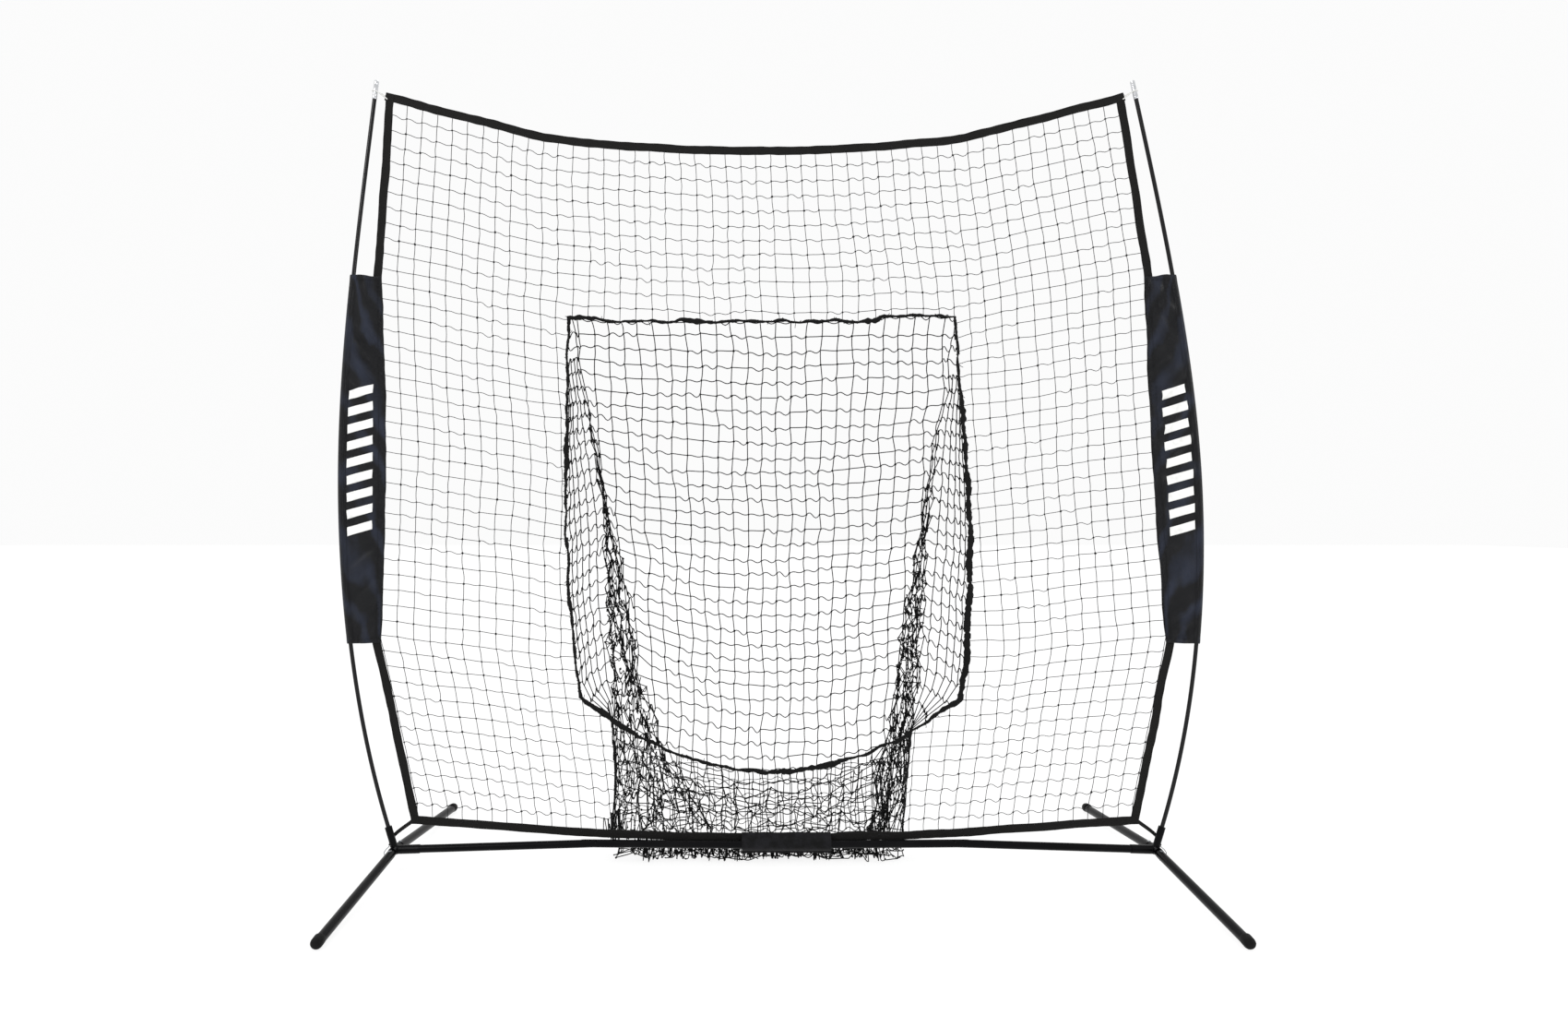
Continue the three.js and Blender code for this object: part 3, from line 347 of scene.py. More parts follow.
@dataclass(frozen=True)
class PrintedInk(Finish):
    """Screen-printed ink on woven cloth: flat white with the weave showing through."""

    thread: float = 1.2 * MM

    def detail(self, tree: Tree, shader: Node) -> None:
        """Adds the weave's relief and thin patches in the ink."""
        grid = self.place(tree, "UV", (1 / self.thread, 1 / self.thread, 1.0))
        weave = add(tree, "TexChecker", {"Scale": 1.0}, {"Vector": grid}).outputs["Fac"]
        thin = self.cloud(tree, 60.0, 6.0)
        self.apply(tree, shader, (thin, 0.45, 0.85), relief=(weave, 0.15 * MM, 0.5))


@dataclass(frozen=True)
class LoopPile(Finish):
    """Brushed nylon loop fabric of a hook-and-loop band: a soft felted face."""

    loop: float = 1.1 * MM

    def detail(self, tree: Tree, shader: Node) -> None:
        """Adds the loops and the matted patches."""
        where = self.place(tree, "Object", (1 / self.loop,) * 3)
        loops = add(tree, "TexVoronoi", {"Scale": 1.0}, {"Vector": where}).outputs["Distance"]
        matted = self.cloud(tree, 40.0, 6.0)
        self.apply(tree, shader, (matted, 0.4, 0.75), relief=(loops, 0.5 * MM, 0.7))


@dataclass(frozen=True)
class BraidedCord(Finish):
    """Elastic cord in a braided sleeve: crossing diagonal yarns."""

    yarn: float = 1.5 * MM

    def detail(self, tree: Tree, shader: Node) -> None:
        """Adds the two crossing sets of yarns."""
        sets = []
        for lean in (1.0, -1.0):
            way = self.place(tree, "UV", (lean / self.yarn, 1 / self.yarn, 1.0))
            settings = {"bands_direction": "DIAGONAL", "Scale": 0.5}
            sets.append(add(tree, "TexWave", settings, {"Vector": way}).outputs["Fac"])
        braid = add(tree, "Math", {"operation": "MAXIMUM"}, {0: sets[0], 1: sets[1]}).outputs[0]
        self.apply(tree, shader, (braid, 0.3, 0.9), relief=(braid, 0.3 * MM, 0.8))


@dataclass(frozen=True)
class Backdrop(Finish):
    """Matt studio paper, bright enough to read as a plain pale sweep."""

    glow: float = 0.3

    def detail(self, tree: Tree, shader: Node) -> None:
        """Adds a little light of the paper's own and a faint mottle."""
        self.apply(tree, shader, (self.cloud(tree, 3.0), 0.3, 0.7))
        shader.inputs["Emission Color"].default_value = linear("ffffff")
        shader.inputs["Emission Strength"].default_value = self.glow


COATED_STEEL = PowderCoat("powder_coated_steel", "040406", "0b0b0d", 0.3, specular=0.08)
FIBREGLASS = PultrudedRod("pultruded_fibreglass", "060607", "0f1014", 0.17, specular=0.26)
NICKEL = PlatedMetal("polished_nickel_plate", "d9dadc", "b8babd", 0.12, metallic=1.0)
ZINC = PlatedMetal("dull_zinc_plate", "8b8d90", "6f7276", 0.32, metallic=1.0)
RUBBER = MouldedPolymer("moulded_rubber", "070707", "131312", 0.6, specular=0.14)
FACE_TWINE = LaidTwine("bonded_polyester_twine", "0a0a0b", "2a2b2d", 0.75, sheen=0.04, specular=0.2,
                       girth=5.0 * MM)
POCKET_TWINE = LaidTwine("heavy_polyester_twine", "040404", "141416", 0.78, sheen=0.02,
                         specular=0.12,
                         girth=7.0 * MM)
HEM_TAPE = WovenTape("woven_polypropylene_tape", "050504", "1c1917", 0.72, sheen=0.03,
                     specular=0.22)
BINDING = WovenTape("gathered_binding_tape", "030303", "121212", 0.75, specular=0.2, rib=1.1 * MM)
# Its lighter shade colour is the painted highlight on the cloth's creases.
OXFORD = CoatedOxford("coated_oxford_cloth", "05060b", "222838", 0.38, sheen=0.03, specular=0.3)
INK = PrintedInk("screen_printed_ink", "f4f4f2", "dcdcda", 0.6)
LOOP_FABRIC = LoopPile("brushed_loop_nylon", "070708", "1a1a1e", 0.9, sheen=0.06, specular=0.2)
ELASTIC = BraidedCord("braided_elastic_cord", "060606", "191919", 0.7, specular=0.25)
WHITE_ELASTIC = BraidedCord("white_braided_elastic", "cfcfca", "f1f1ee", 0.75, yarn=0.8 * MM)
THREAD = LaidTwine("bonded_sewing_thread", "0e0e0e", "262626", 0.6, specular=0.25, lay=1.0 * MM,
                   girth=2.0 * MM)
PAPER = Backdrop("studio_paper", "7c7c7c", "787878", 0.95, specular=0.0, glow=0.86)


# ---- meshes -------------------------------------------------------------------------------------
@dataclass
class Shell:
    """Vertices and faces of one piece in the making, in millimetres, with lengths as its UVs."""

    points: list = field(default_factory=list)
    faces: list = field(default_factory=list)
    maps: list = field(default_factory=list)
    count: int = 0

    def extend(self, points: np.ndarray, faces: list[np.ndarray], maps: list[np.ndarray]) -> None:
        """Adds vertices and the faces between them.

        Args:
            points: (n, 3) places.
            faces: Arrays of vertex numbers, one array for each number of corners.
            maps: A UV for each face corner, in arrays that match the faces.
        """
        self.points.append(points.reshape(-1, 3))
        self.faces += [f + self.count for f in faces]
        self.maps += maps
        self.count += len(self.points[-1])

    def make(self, name: str, finish: Finish, body: str = "frame", slot: str | None = None,
             replaces: tuple[str, ...] = ()) -> bpy.types.Object:
        """Turns the shell into a piece of the object.

        Args:
            name: The piece's name.
            finish: Its finish.
            body: The CAD body it rides on.
            slot: The record's material slot; not used.
            replaces: The CAD nodes it stands for.

        Returns:
            The new object.
        """
        mesh = bpy.data.meshes.new(name)
        points = np.concatenate(self.points)
        corners = np.concatenate([f.ravel() for f in self.faces])
        sizes = np.concatenate([np.full(len(f), f.shape[1]) for f in self.faces])
        mesh.vertices.add(len(points))
        mesh.vertices.foreach_set("co", (points * MM).astype(np.float32).ravel())
        mesh.loops.add(len(corners))
        mesh.loops.foreach_set("vertex_index", corners.astype(np.int32))
        mesh.polygons.add(len(sizes))
        starts = np.concatenate([[0], np.cumsum(sizes)[:-1]])
        mesh.polygons.foreach_set("loop_start", starts.astype(np.int32))
        mesh.update(calc_edges=True)
        layer = mesh.uv_layers.new(name="metres")
        flat = np.concatenate([m.reshape(-1, 2) for m in self.maps])
        layer.data.foreach_set("uv", (flat * MM).astype(np.float32).ravel())
        mesh.polygons.foreach_set("use_smooth", np.ones(len(sizes), bool))
        mesh.validate()
        piece = bpy.data.objects.new(name, mesh)
        bpy.context.scene.collection.objects.link(piece)
        mesh.materials.append(finish.material())
        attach(piece, body)
        if replaces:
            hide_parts(*replaces)
        LOG.info("%s: %d vertices, %s", name, len(points), finish.name)
        return piece


def unit(vectors: np.ndarray) -> np.ndarray:
    """The same directions with a length of one."""
    return vectors / np.maximum(np.linalg.norm(vectors, axis=-1, keepdims=True), 1e-9)


def circle(sides: int) -> np.ndarray:
    """A round section of radius one, as (sides, 2) points."""
    angle = np.arange(sides) * 2 * math.pi / sides
    return np.stack([np.cos(angle), np.sin(angle)], axis=1)


def sweep(shell: Shell, lines: np.ndarray, section: np.ndarray, scale: float | np.ndarray = 1.0,
          facing: np.ndarray | tuple = BACK, twist: np.ndarray | None = None,
          ends: Ends = Ends.FLAT) -> None:
    """Sweeps one section along many lines at once.

    Args:
        shell: Where the surface goes.
        lines: (lines, stations, 3) centre lines.
        section: (corners, 2) section, across the line and towards its facing.
        scale: Size of the section at each line and station, one number or two.
        facing: Direction, or one for each line, that the section's second axis turns to.
        twist: Angle of the section at each station, in radians.
        ends: How the ends look, or JOINED where each line is a loop.
    """
    lines = np.asarray(lines, float)
    if lines.ndim == 2:
        lines = lines[None]
    count, stations, _ = lines.shape
    closed = ends is Ends.JOINED
    if closed:
        ahead, behind = np.roll(lines, -1, axis=1), np.roll(lines, 1, axis=1)
        tangent = unit(ahead - behind)
    else:
        tangent = unit(np.gradient(lines, axis=1))
    toward = np.broadcast_to(np.asarray(facing, float), (count, 3))[:, None, :]
    across = unit(np.cross(tangent, toward))
    normal = unit(np.cross(across, tangent))
    if twist is not None:
        turn = np.asarray(twist, float).reshape(1, -1, 1)
        across, normal = (across * np.cos(turn) + normal * np.sin(turn),
                          normal * np.cos(turn) - across * np.sin(turn))
    size = np.asarray(scale, float)
    if size.ndim < 3:
        size = np.atleast_2d(size)[..., None]
    size = np.broadcast_to(size, (count, stations, 2))
    u = section[None, None, :, 0] * size[:, :, None, 0]
    v = section[None, None, :, 1] * size[:, :, None, 1]
    rings = lines[:, :, None] + across[:, :, None] * u[..., None]
    rings = rings + normal[:, :, None] * v[..., None]
    if ends is Ends.DOMED:
        rings, stations = dome(lines, rings, tangent), stations + 4
    corners = len(section)
    index = np.arange(count * stations * corners).reshape(count, stations, corners)
    following = np.roll(index, -1, axis=1) if closed else index[:, 1:]
    here = index if closed else index[:, :-1]
    quads = np.stack([here, np.roll(here, -1, axis=2), np.roll(following, -1, axis=2), following],
                     axis=-1)
    edge = np.linalg.norm(np.diff(np.vstack([section, section[:1]]), axis=0), axis=1)
    around = np.concatenate([[0], np.cumsum(edge)]) * float(np.mean(size))
    step = np.linalg.norm(np.diff(rings.mean(axis=2), axis=1), axis=2)
    along = np.concatenate([np.zeros((count, 1)), np.cumsum(step, axis=1)], axis=1)
    if closed:
        along = np.concatenate([along, along[:, -1:] + step[:, :1]], axis=1)
    spans = along.shape[1] - 1
    a, b = along[:, :spans, None], along[:, 1:, None]
    left, right = around[None, None, :-1], around[None, None, 1:]
    shape = (count, spans, corners)
    uv = np.stack([np.stack([np.broadcast_to(s, shape), np.broadcast_to(t, shape)], axis=-1)
                   for s, t in ((left, a), (right, a), (right, b), (left, b))], axis=-2)
    faces, maps = [quads.reshape(-1, 4)], [uv.reshape(-1, 2)]
    if ends in (Ends.FLAT, Ends.DOMED):
        for ring in (index[:, 0, ::-1], index[:, -1]):
            faces.append(ring)
            maps.append(np.tile(section * float(np.mean(size)), (len(ring), 1)))
    shell.extend(rings, faces, maps)


def dome(lines: np.ndarray, rings: np.ndarray, tangent: np.ndarray) -> np.ndarray:
    """Adds two shrinking rings at each end, so that the ends are rounded over.

    Args:
        lines: The centre lines.
        rings: The section at each station.
        tangent: The lines' directions.

    Returns:
        The rings with their new ends.
    """
    reach = np.linalg.norm(rings[:, 0] - lines[:, :1], axis=2).mean()
    ends = []
    for station, way in ((0, -1.0), (-1, 1.0)):
        centre, ring = lines[:, station, None], rings[:, station]
        for share, out in ((0.75, 0.28), (0.3, 0.42)):
            step = tangent[:, station, None] * way * out * reach
            ends.append(centre + (ring - centre) * share + step)
    return np.concatenate([ends[1][:, None], ends[0][:, None], rings,
                           ends[2][:, None], ends[3][:, None]], axis=1)


def lumps(shell: Shell, centres: np.ndarray, radii: np.ndarray, rng: np.random.Generator) -> None:
    """Adds small uneven knots.

    Args:
        shell: Where they go.
        centres: (n, 3) places.
        radii: (n,) sizes.
        rng: The source of their unevenness.
    """
    rows, turns = 4, 6
    polar = (np.arange(1, rows) / rows) * math.pi
    ring = circle(turns)
    body = np.stack([np.stack([math.sin(p) * ring[:, 0], math.sin(p) * ring[:, 1],
                               np.full(turns, math.cos(p))], axis=1) for p in polar])
    shape = np.vstack([[[0, 0, 1]], body.reshape(-1, 3), [[0, 0, -1]]])
    count, corners = len(centres), len(shape)
    uneven = rng.uniform(0.72, 1.18, (count, corners, 1)) * rng.uniform(0.8, 1.2, (count, 1, 3))
    points = centres[:, None] + shape[None] * uneven * radii[:, None, None]
    last = corners - 1
    i = np.arange(turns)
    j = (i + 1) % turns
    top = np.stack([np.zeros(turns, int), 1 + i, 1 + j], axis=1)
    base = 1 + (rows - 2) * turns
    low = np.stack([np.full(turns, last), base + j, base + i], axis=1)
    middle = [np.stack([1 + r * turns + i, 1 + (r + 1) * turns + i, 1 + (r + 1) * turns + j,
                        1 + r * turns + j], axis=1) for r in range(rows - 2)]
    shift = (np.arange(count) * corners)[:, None, None]
    triangles = (np.vstack([top, low])[None] + shift).reshape(-1, 3)
    quads = (np.vstack(middle)[None] + shift).reshape(-1, 4)
    plain = points.reshape(-1, 3)[:, [0, 2]]
    shell.extend(points, [triangles, quads], [plain[triangles], plain[quads]])


def smooth_noise(rng: np.random.Generator, places: np.ndarray, scale: float,
                 waves: int = 6) -> np.ndarray:
    """A smooth random value at each place, from minus one to one or so.

    Args:
        rng: The source of the waves.
        places: (..., d) coordinates.
        scale: The waves' typical length.
        waves: How many waves add up.

    Returns:
        Values with the places' leading shape.
    """
    total = np.zeros(places.shape[:-1])
    for _ in range(waves):
        way = rng.normal(size=places.shape[-1])
        way *= 2 * math.pi / (scale * rng.uniform(0.7, 1.6) * np.linalg.norm(way))
        total += np.sin(places @ way + rng.uniform(0, 2 * math.pi))
    return total / math.sqrt(waves)


# ---- main lines ---------------------------------------------------------------------------------
def hermite(t: np.ndarray, span: float, start: float, slope: float, end: float,
            end_slope: float) -> np.ndarray:
    """A cubic between two values with given slopes, t going from 0 to 1 over the span."""
    rise = (t**3 - 2 * t**2 + t) * span * slope + (t**3 - t**2) * span * end_slope
    return (2 * t**3 - 3 * t**2 + 1) * start + (3 * t**2 - 2 * t**3) * end + rise


def through(points: list | np.ndarray, count: int) -> np.ndarray:
    """A smooth curve through points, in equal steps of length.

    Args:
        points: The places it passes.
        count: How many places to give back.

    Returns:
        (count, d) places.
    """
    p = np.asarray(points, float)
    p = np.vstack([2 * p[0] - p[1], p, 2 * p[-1] - p[-2]])
    t = np.linspace(0, 1, 24, endpoint=False)[:, None]
    parts = []
    for a, b, c, d in zip(p, p[1:], p[2:], p[3:]):
        bend = 2 * a - 5 * b + 4 * c - d + t * (3 * (b - c) + d - a)
        parts.append(b + 0.5 * t * (c - a + t * bend))
    parts.append(p[-2][None])
    return even(np.vstack(parts), count)


def even(line: np.ndarray, count: int, closed: bool = False) -> np.ndarray:
    """The same line in equal steps; a loop's last step goes back to its start."""
    run = np.concatenate([[0], np.cumsum(np.linalg.norm(np.diff(line, axis=0), axis=1))])
    marks = np.linspace(0, run[-1], count + 1)[:-1] if closed else np.linspace(0, run[-1], count)
    return np.stack([np.interp(marks, run, column) for column in line.T], axis=1)


@dataclass(frozen=True)
class Layout:
    """Main lines of the net and its frame. The CAD part follows the same ones.

    Attributes:
        lean_reach: How far the poles' tips stand to the side of the hubs.
        hem_halves: Half widths between the side hems at the net's corners and bends, from below.
        top_sag: The top hem's drop, its flat half and rise, and its slope further out.
        bottom_sag: The same of the bottom hem, with its height in the middle first.
        opening_half: The opening's half width at its top, what it loses below, and its bulge.
        opening_shift: How far the opening stands to the side.
        opening_step: Drop of the opening's top edge, and where the drop ends and starts.
    """

    net_y: float = 14.0
    hub_half: float = 1080.0
    hub_z: float = 50.0
    socket_slope: float = 0.3
    socket_mouth: float = 115.0
    belly_half: float = 1219.5
    belly_z: float = 1000.0
    tip_half: float = 1073.0
    tip_slope: float = -0.17
    tip_z: float = 2235.0
    lean_reach: float = -59.0
    lean_power: float = 1.8
    hem_top: float = 2192.0
    hem_bottom: float = 130.0
    hem_width: float = 24.0
    hem_halves: tuple = (1028.0, 1132.0, 1100.0, 1043.0)
    hem_bow: float = 10.0
    top_sag: tuple = (152.18, 600.0, 37.0, 0.26)
    bottom_sag: tuple = (80.72, 500.0, 11.0, 0.0725)
    opening_top: float = 1565.0
    opening_corner: float = 480.0
    opening_bottom: float = 267.0
    opening_half: tuple = (553.0, 8.0, 28.0)
    opening_shift: float = -9.0
    opening_step: tuple = (15.0, 298.0, -540.0)
    panel_low: float = 636.0
    panel_high: float = 1681.0

    def lean(self, z: float | np.ndarray) -> np.ndarray:
        """How far the whole net leans sideways at a height."""
        rise = np.maximum(0, np.asarray(z, float) - self.socket_mouth)
        return self.lean_reach * (rise / (self.tip_z - self.socket_mouth)) ** self.lean_power

    def pole(self, side: Side, z: float | np.ndarray) -> np.ndarray:
        """The bow pole's centre at heights: straight in its socket, then out and back in."""
        z = np.asarray(z, float)
        mouth, belly = self.socket_mouth, self.belly_z
        start = self.hub_half + (mouth - self.hub_z) * self.socket_slope
        low = self.hub_half + (z - self.hub_z) * self.socket_slope
        middle = hermite((z - mouth) / (belly - mouth), belly - mouth, start, self.socket_slope,
                         self.belly_half, 0.0)
        high = hermite((z - belly) / (self.tip_z - belly), self.tip_z - belly, self.belly_half, 0.0,
                       self.tip_half, self.tip_slope)
        half = np.where(z < mouth, low, np.where(z < belly, middle, high))
        return np.stack([side.value * half + self.lean(z), 0 * z, z], axis=-1)

    def hem(self, side: Side, z: float | np.ndarray) -> np.ndarray:
        """X of a side hem's centre, pulled in a little beside the panel."""
        z = np.asarray(z, float)
        heights = [self.hem_bottom, self.panel_low, self.panel_high, self.hem_top]
        half = np.interp(z, heights, self.hem_halves)
        t = np.clip((z - self.panel_low) / (self.panel_high - self.panel_low), 0, 1)
        return side.value * (half - self.hem_bow * np.sin(math.pi * t)) + self.lean(z)

    def top_hem(self, x: float | np.ndarray) -> np.ndarray:
        """Height of the top hem's centre, which sags between the poles."""
        drop, flat, rise, slope = self.top_sag
        away = np.abs(np.asarray(x, float) - self.lean(self.hem_top))
        up = rise * (np.minimum(away, flat) / flat) ** 2 + slope * np.maximum(0, away - flat)
        return self.hem_top - drop + up

    def bottom_hem(self, x: float | np.ndarray) -> np.ndarray:
        """Height of the bottom hem's centre."""
        middle, flat, rise, slope = self.bottom_sag
        away = np.abs(np.asarray(x, float))
        up = rise * (np.minimum(away, flat) / flat) ** 2 + slope * np.maximum(0, away - flat)
        return middle + up

    def opening(self, side: Side, z: float | np.ndarray) -> np.ndarray:
        """X of the opening's side edge at a height."""
        half, loss, bulge = self.opening_half
        drop = self.opening_top - np.asarray(z, float)
        t = np.clip(drop / (self.opening_top - self.opening_corner), 0, 1)
        out = half - loss * t + bulge * np.sin(math.pi * t**1.3)
        return side.value * out + self.lean(z) + self.opening_shift

    def opening_low(self, x: float | np.ndarray) -> np.ndarray:
        """Height of the opening's round bottom edge."""
        half, loss, _ = self.opening_half
        away = np.asarray(x, float) - self.lean(self.opening_corner) - self.opening_shift
        rise = self.opening_corner - self.opening_bottom
        return self.opening_bottom + rise * (away / (half - loss)) ** 2

    def opening_high(self, x: float | np.ndarray) -> np.ndarray:
        """Height of the opening's top edge, which hangs lower up to a step near its right end."""
        drop, end, start = self.opening_step
        x = np.asarray(x, float)
        lower = drop / (1 + np.exp((x - end) / 5)) / (1 + np.exp((start - x) / 22))
        return self.opening_top + 3 - lower

    def clearance(self, x: np.ndarray, z: np.ndarray) -> np.ndarray:
        """How far inside the opening a place lies; below zero outside."""
        gaps = [self.opening_high(x) - z, (z - self.opening_low(x)) * 0.8,
                x - self.opening(Side.LEFT, z), self.opening(Side.RIGHT, z) - x]
        return np.minimum.reduce(gaps)

    def outline(self, count: int) -> np.ndarray:
        """The opening's edge as a loop of (x, z), clockwise from its top left corner."""
        z = np.linspace(self.opening_top, self.opening_corner, 60)
        right = np.stack([self.opening(Side.RIGHT, z), z], axis=1)
        left = np.stack([self.opening(Side.LEFT, z), z], axis=1)[::-1]
        x = np.linspace(right[-1, 0], left[0, 0], 80)[1:-1]
        low = np.stack([x, self.opening_low(x)], axis=1)
        x = np.linspace(left[-1, 0], right[0, 0], 120)
        high = np.stack([x, self.opening_high(x)], axis=1)
        return even(np.vstack([high, right[1:], low, left]), count, closed=True)


LAYOUT = Layout()


# ---- netting ------------------------------------------------------------------------------------
@dataclass
class Netting:
    """Hand-knotted netting as twine between neighbouring knots.

    Attributes:
        radius: The twine's half-thickness.
        length: Twine between two knots, which shows as slack where they hang closer.
        knot: The knots' half-size.
        seed: Start of its randomness.
        stations: How many places along the twine between two knots.
    """

    radius: float
    length: float
    knot: float
    seed: int
    stations: int = 7

    def __post_init__(self) -> None:
        """Starts the randomness."""
        self.rng = np.random.default_rng(self.seed)

    def strand(self, first: np.ndarray, second: np.ndarray, sag: float, wave: float,
               stray: float) -> np.ndarray:
        """The twine between pairs of knots.

        Args:
            first: (n, 3) knots.
            second: (n, 3) knots.
            sag: Share of the slack that hangs down.
            wave: Share of the slack that goes into an S from the knots' twist.
            stray: Share of the slack that goes any way.

        Returns:
            (n, stations, 3) centre lines.
        """
        gap = second - first
        distance = np.linalg.norm(gap, axis=1)
        slack = np.sqrt(np.clip(distance * (self.length - distance), 1.0, None))[:, None, None]
        t = np.linspace(0, 1, self.stations)[None, :, None]
        bow, bend = np.sin(math.pi * t), np.sin(2 * math.pi * t)
        count = len(first)
        way = unit(self.rng.normal(size=(count, 3)))[:, None]
        way = way * self.rng.uniform(0.2, 1, (count, 1, 1))
        line = first[:, None] + gap[:, None] * t
        line = line + slack * 0.64 * bow * (way * stray - UP * sag)
        twist = self.rng.uniform(0.5, 1.4, (count, 1, 1)) * wave
        return line + slack * 0.32 * bend * twist * UP

    def weave(self, shell: Shell, first: np.ndarray, second: np.ndarray, mood: tuple,
              facing: np.ndarray = BACK) -> None:
        """Adds the twine between pairs of knots to a shell; the mood is sag, wave and stray."""
        if len(first):
            lines = self.strand(first, second, *mood)
            lines[..., 2] = np.maximum(lines[..., 2], self.radius + 0.6)
            sweep(shell, lines, circle(5) * self.radius, facing=facing, ends=Ends.OPEN)

    def knots(self, shell: Shell, places: np.ndarray) -> None:
        """Adds knots to a shell."""
        if len(places):
            places = places.copy()
            places[:, 2] = np.maximum(places[:, 2], self.knot * 1.9)
            size = self.knot * self.rng.uniform(0.8, 1.25, len(places))
            lumps(shell, places, size, self.rng)

    def grid(self, shell: Shell, knots: np.ndarray, level: tuple, upright: tuple,
             there: np.ndarray | None = None, facing: np.ndarray = BACK) -> None:
        """Adds a whole grid of knots and the twine between them.

        Args:
            shell: Where it goes.
            knots: (rows, columns, 3) places.
            level: Sag, wave and stray of the twine along rows.
            upright: Sag, wave and stray of the twine along columns.
            there: (rows, columns) True where there is a knot, or None for all.
            facing: A direction across the net.
        """
        there = np.ones(knots.shape[:2], bool) if there is None else there
        self.knots(shell, knots[there])
        along = there[:, :-1] & there[:, 1:]
        self.weave(shell, knots[:, :-1][along], knots[:, 1:][along], level, facing)
        down = there[:-1] & there[1:]
        self.weave(shell, knots[:-1][down], knots[1:][down], upright, facing)


@dataclass
class FaceNet:
    """The net's flat face between the four hems, cut out at the opening."""

    layout: Layout = LAYOUT
    columns: int = 48
    rows: int = 47
    netting: Netting = field(default_factory=lambda: Netting(0.95, 46.2, 2.7, 11))

    def knots(self) -> np.ndarray:
        """(rows, columns, 3) knots, spread evenly between the hems.

        Returns:
            The knots' places, the first row in the bottom hem.
        """
        lay, rng = self.layout, self.netting.rng
        u = np.linspace(0, 1, self.columns + 1)[None, :]
        v = np.linspace(0, 1, self.rows + 1)[:, None]
        edge_z = lay.hem_bottom - 36 + (lay.hem_top - 6 - lay.hem_bottom + 36) * v
        left = lay.hem(Side.LEFT, edge_z) + 8
        right = lay.hem(Side.RIGHT, edge_z) - 8
        x = left + (right - left) * u
        low = lay.bottom_hem(x[:1]) + 4
        high = lay.top_hem(x[-1:]) - 4
        z = low + (high - low) * v
        place = np.stack([x, np.full(x.shape, lay.net_y), z], axis=-1)
        inner = (np.sin(math.pi * u) * np.sin(math.pi * v)) ** 0.35
        flat = place[..., [0, 2]]
        for axis, reach in ((0, 4.0), (1, 5.0), (2, 4.5)):
            broad = smooth_noise(rng, flat, 420.0) * reach
            local = smooth_noise(rng, flat, 130.0) * 1.3 + rng.normal(0, 0.9, x.shape)
            place[..., axis] += (broad + local) * inner
        near = np.exp(-np.abs(lay.clearance(place[..., 0], place[..., 2])) / 90)
        place[..., 2] -= near * (5 + 4 * smooth_noise(rng, flat, 260.0))
        return place

    def tie(self, outer: np.ndarray, inner: np.ndarray) -> np.ndarray:
        """Where twine from outside the opening to inside it meets the rim."""
        low, high = np.zeros(len(outer)), np.ones(len(outer))
        for _ in range(12):
            middle = (low + high) / 2
            at = outer + (inner - outer) * middle[:, None]
            within = self.layout.clearance(at[:, 0], at[:, 2]) > 0
            low, high = np.where(within, low, middle), np.where(within, middle, high)
        return outer + (inner - outer) * high[:, None]

    def build(self) -> None:
        """Builds the face in four pieces round the opening."""
        lay, place = self.layout, self.knots()
        there = lay.clearance(place[..., 0], place[..., 2]) < -7
        ends = []
        for first, second, has, misses in (
            (place[:, :-1], place[:, 1:], there[:, :-1], ~there[:, 1:]),
            (place[:, 1:], place[:, :-1], there[:, 1:], ~there[:, :-1]),
            (place[:-1], place[1:], there[:-1], ~there[1:]),
            (place[1:], place[:-1], there[1:], ~there[:-1]),
        ):
            cut = has & misses
            ends.append((first[cut], self.tie(first[cut], second[cut])))
        outer = np.concatenate([a for a, _ in ends])
        inner = np.concatenate([b for _, b in ends])
        for name in ("upper", "lower", "left", "right"):
            shell, net = Shell(), self.netting
            net.knots(shell, place[there & (self.region(place) == name)])
            for a, b, ok, mood in (
                (place[:, :-1], place[:, 1:], there[:, :-1] & there[:, 1:], (0.35, 1.0, 0.25)),
                (place[:-1], place[1:], there[:-1] & there[1:], (0.0, 0.12, 0.35)),
            ):
                chosen = ok & (self.region((a + b) / 2) == name)
                net.weave(shell, a[chosen], b[chosen], mood)
            chosen = self.region(outer) == name
            net.weave(shell, outer[chosen], inner[chosen], (0.1, 0.2, 0.2))
            shell.make(f"face_net_{name}", FACE_TWINE, slot="net_twine", replaces=(f"net_{name}",))

    def region(self, places: np.ndarray) -> np.ndarray:
        """Name of the piece that each place belongs to, as the CAD part splits the face."""
        x, z = places[..., 0], places[..., 2]
        below = (np.abs(x + 11) < 545) & (z < 500)
        return np.select([z > self.layout.opening_top, below, x < 0], ["upper", "lower", "left"],
                         "right")


